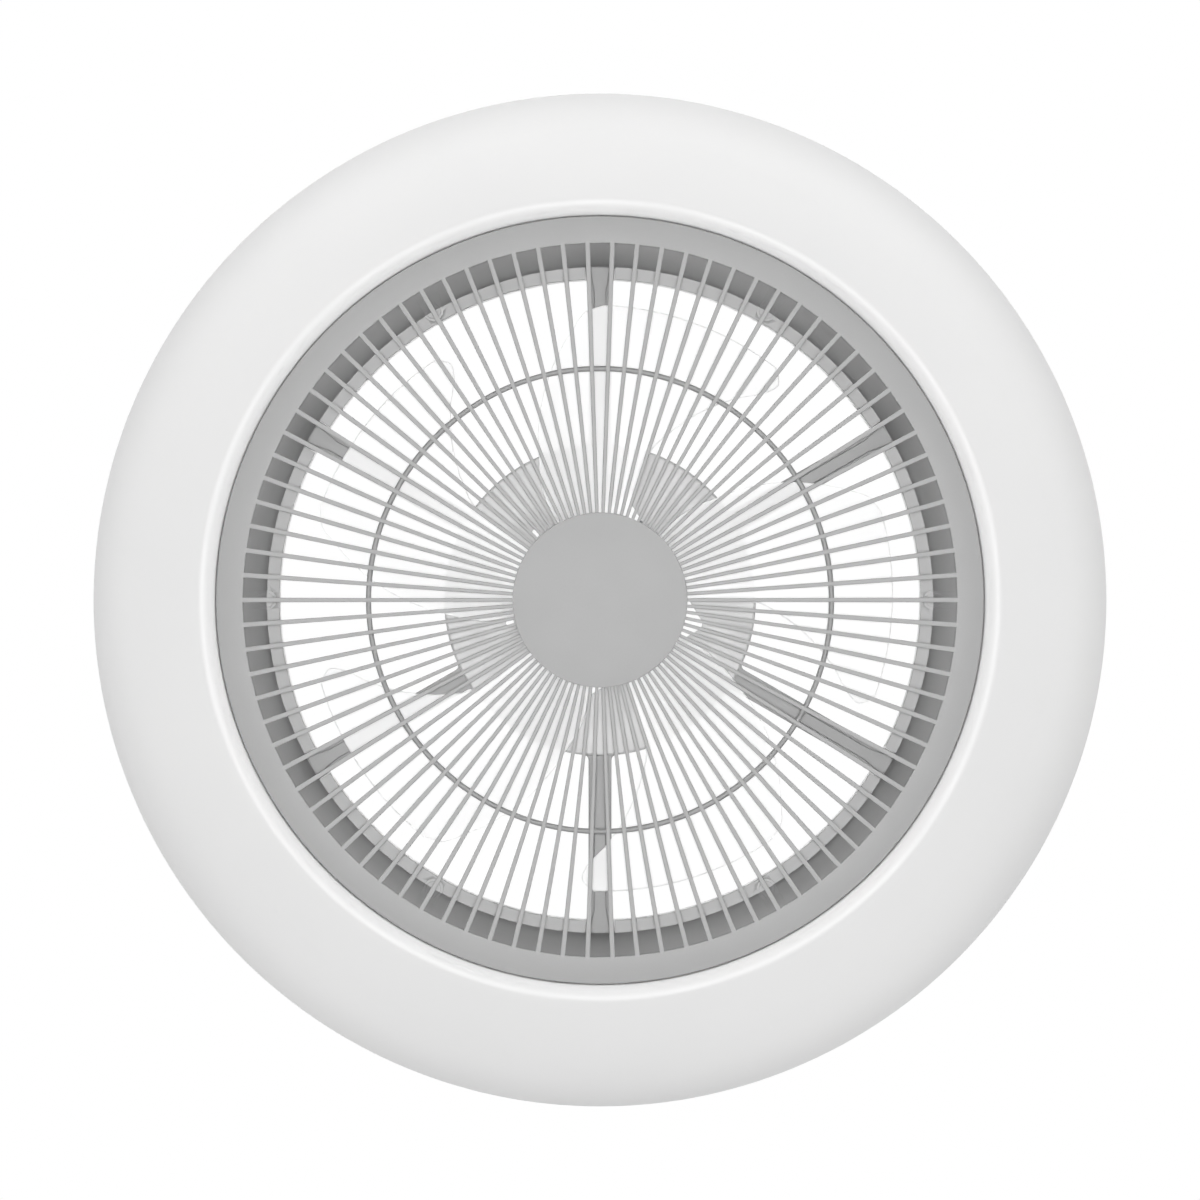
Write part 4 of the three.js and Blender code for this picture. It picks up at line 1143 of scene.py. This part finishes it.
def motor_plate():
    """The plate under the housing and the tube that holds the bearings."""
    end, high, wide = extent("motor_plate")
    low = high - 0.003
    sleeve, bore = 0.014, 0.011
    plate = turned("motor_plate_disc", [
        (0, high, 0), (wide, high, 0.0004), (wide, low, 0.0008), (sleeve, low, 0.0015),
        (sleeve, end, 0.0004), (bore, end, 0.0004), (bore, low, 0), (0, low, 0)], SMALL_ROUND)
    return drilled(plate, PLATE_TURNS, PLATE_SCREW_CIRCLE, SCREW_HOLE, low, high)


def bell():
    """The cup that turns with the blades, and the boss under its bearings."""
    low, high, wide = extent("rotor_bell")
    boss, wall = RACE_SEAT, 0.0025
    boss_top = under("bearing_lower") - GAP
    shell = turned("bell_cup", [
        (SHAFT_HOLE, low, 0.0003), (wide, low, 0.0015), (wide, high, 0.0006),
        (wide - wall, high, 0.0006), (wide - wall, BELL_FLOOR, 0.0015), (boss, BELL_FLOOR, 0.0008),
        (boss, boss_top, 0.0003), (SHAFT_HOLE, boss_top, 0.0003)], SMALL_ROUND)
    return drilled(shell, BLADE_SCREW_TURNS, BLADE_SCREW_CIRCLE, THICK_SCREW_HOLE, low, BELL_FLOOR)


def drilled_ring(node, inner):
    low, high, wide = extent(node)
    ring = turned(node, [(inner, low, 0.0004), (wide, low, 0.0006), (wide, high, 0.0006),
                         (inner, high, 0.0004)], SMALL_ROUND)
    return drilled(ring, BLADE_SCREW_TURNS, BLADE_SCREW_CIRCLE, THICK_SCREW_HOLE, low, high)


def shaft():
    low, high, radius = extent("rotor_shaft")
    end, start = 0.0008, 0.0006         # bevels at its ends
    return turned("shaft_rod", [
        (0, low, 0), (radius - end, low, 0), (radius, low + end, 0), (radius, high - start, 0),
        (radius - start, high, 0), (0, high, 0)], 64)


def bearing(node):
    """Two races with a groove between them and eight balls in it."""
    low, high, outer = extent(node)
    race, sunk = 0.0016, 0.0003         # a race's wall, and how far the balls lie in it
    races = [tube("race", *radii, low, high)
             for radii in ((SHAFT_HOLE, SHAFT_HOLE + race), (outer - race, outer))]
    return grown(BALLS, ZINC, joined("races", races), circle=(SHAFT_HOLE + outer) / 2,
                 ball_radius=(outer - SHAFT_HOLE) / 2 - race + sunk, level=(low + high) / 2)


def spacer():
    low, high, outer = extent("bearing_spacer")
    return tube("spacer_tube", RACE_SEAT, outer, low, high)


def winding():
    """One layer of turns along each tooth, and a second on its wide end."""
    low, high = under("stator_winding"), top("stator_winding")
    wire, width = 0.0006, 0.0066
    outer_start, outer_turns = 0.0235, 7
    height = high - low - 2 * wire
    level = (low + high) / 2
    coils = coil_tree()
    first = grown(coils, COPPER, wire_radius=wire, height=height - 4 * wire, level=level)
    second = grown(coils, COPPER, wire_radius=wire, start=outer_start, turn_count=outer_turns,
                   width=width + 4 * wire, height=height, level=level)
    return joined("wound_coils", [first, second])


BALLS = ball_tree()
piece("motor_plate_disc", motor_plate(), DARK, ["motor_plate"])
for node in ("bearing_upper", "bearing_lower"):
    piece(f"{node}_balls", bearing(node), ZINC, [node])
piece("spacer_tube", spacer(), DARK, ["bearing_spacer"])
softened_piece("stator_stack", "stator_core", 0.0002, LAMINATED)
piece("wound_coils", winding(), COPPER, ["stator_winding"])
piece("bell_cup", bell(), DARK, ["rotor_bell"], "rotor")
MAGNETS = grown(magnet_tree(), FERRITE, level=(under("magnet_ring") + top("magnet_ring")) / 2)
piece("curved_magnets", MAGNETS, FERRITE, ["magnet_ring"], "rotor")
piece("shaft_rod", shaft(), ZINC, ["rotor_shaft"], "rotor")
for name, node, inner in (("carrier_ring", "blade_carrier", SHAFT_HOLE),
                          ("clamp_ring", "blade_clamp_ring", 0.020)):
    piece(name, drilled_ring(node, inner), DARK, [node], "rotor")
softened_piece("hex_nut", "blade_nut", 0.0006, ZINC, "rotor")

# ---- Ceiling side ----


def grommet():
    """A rubber ring with a lip under the bracket and a neck through its hole."""
    low_box, high_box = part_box("cable_grommet")
    middle = (low_box + high_box) / 2
    wide = (high_box.x - low_box.x) / 2
    low, high, neck, bore = low_box.z, high_box.z, wide - 0.0025, 0.005
    seat = low + 0.002
    mesh = turned("grommet_ring", [
        (bore, low, 0.0008), (wide, low, 0.0008), (wide, seat, 0.0006), (neck, seat, 0.0003),
        (neck, high, 0.0005), (bore, high, 0.0006)], SMALL_ROUND)
    mesh.transform(Matrix.Translation((middle.x, middle.y, 0)))
    return mesh


softened_piece("bracket_bar", "ceiling_bracket", 0.0005, ZINC)
piece("grommet_ring", grommet(), RUBBER, ["cable_grommet"])
softened_piece("terminal_body", "terminal_block", 0.0006, NYLON)
softened_piece("receiver_case", "receiver_module", 0.0012, MODULE)
softened_piece("driver_case", "led_driver", 0.0012, MODULE)

# ---- Room, light and camera ----


def room_floor():
    """A plain pale floor, well under the fan. It looks lighter than it lights the fan."""
    level, half = -3.2, 40.0
    ground = Finish("pale_floor")
    ground.set("Base Color", ground.drift(grey(0.48), grey(0.52), 1.5))
    ground.set("Roughness", 0.8)
    rays = ground.add("ShaderNodeLightPath").outputs
    looked_at = ground.times(rays["Is Camera Ray"], FLOOR_PALENESS)
    share = ground.calc("MAXIMUM", looked_at, rays["Is Glossy Ray"])
    white = ground.add("ShaderNodeEmission")
    seen = ground.add("ShaderNodeMixShader", {0: share, 1: ground.shader, 2: white})
    ground.feed(ground.tree.nodes["Material Output"], "Surface", seen)
    corners = [(-half, -half, level), (half, -half, level), (half, half, level), (-half, half, level)]
    mesh = bpy.data.meshes.new("floor")
    mesh.from_pydata(corners, [], [(0, 1, 2, 3)])
    mesh.materials.append(ground.material)
    shown("floor", mesh)


def room_light():
    """White where the fan is seen, mirrored or looked through, and a soft even fill elsewhere."""
    world = bpy.data.worlds.new("studio")
    world.use_nodes = True
    sky = Nodes(world.node_tree)
    rays = sky.add("ShaderNodeLightPath").outputs
    seen = sky.calc("MAXIMUM", rays["Is Camera Ray"], rays["Is Glossy Ray"])
    white = sky.calc("MAXIMUM", seen, rays["Is Transmission Ray"])
    back = world.node_tree.nodes["Background"]
    sky.feed(back, "Color", (1, 1, 1, 1))
    sky.feed(back, "Strength", sky.between(white, FILL, 1.0, 0.0, 1.0))
    bpy.context.scene.world = world


def soft_lamp(name, place, width, height, power, mirrored=True):
    """A flat lamp that looks at the fan and isn't seen itself."""
    lamp = bpy.data.lights.new(name, "AREA")
    lamp.shape = "RECTANGLE"
    lamp.size = width
    lamp.size_y = height
    lamp.energy = power
    thing = shown(name, lamp)
    thing.location = place
    thing.rotation_euler = (Vector((0, 0, -0.12)) - Vector(place)).to_track_quat("-Z", "Y").to_euler()
    thing.visible_camera = False
    thing.visible_glossy = mirrored


def camera():
    """On the fan's axis, looking straight up, with -Y at the top of the picture."""
    lens = bpy.data.cameras.new("view_from_below")
    lens.sensor_width = 36.0
    lens.lens = 101.06
    thing = shown("view_from_below", lens)
    thing.location = (0, 0, CAMERA_LEVEL)
    thing.rotation_euler = (pi, 0, 0)
    bpy.context.scene.camera = thing


CAMERA_LEVEL = -2.12
FILL = 0.15                     # how much light comes from all round
FLOOR_PALENESS = 0.86           # how white the floor looks straight to the camera
SIDE_POWERS = (11, 11, 11, 11, 17, 17)
room_floor()
room_light()
soft_lamp("key_left", (-1.2, -1.5, -2.0), 1.6, 1.6, 2)
soft_lamp("key_right", (1.2, -1.5, -2.0), 1.6, 1.6, 2)
soft_lamp("on_axis", (0, 0, CAMERA_LEVEL - 0.01), 0.05, 0.05, 29.5)
for number, (turn, power) in enumerate(zip(around(6), SIDE_POWERS), 1):
    soft_lamp(f"side_lamp_{number}", (*on_circle(2.2, turn), -0.28), 2.0, 0.5, power, False)
for number, turn in enumerate(around(3, radians(30)), 1):
    soft_lamp(f"lamp_above_{number}", (*on_circle(1.2, turn), 2.0), 2.4, 2.4, 18, False)
camera()
bpy.context.scene.view_settings.view_transform = "Standard"
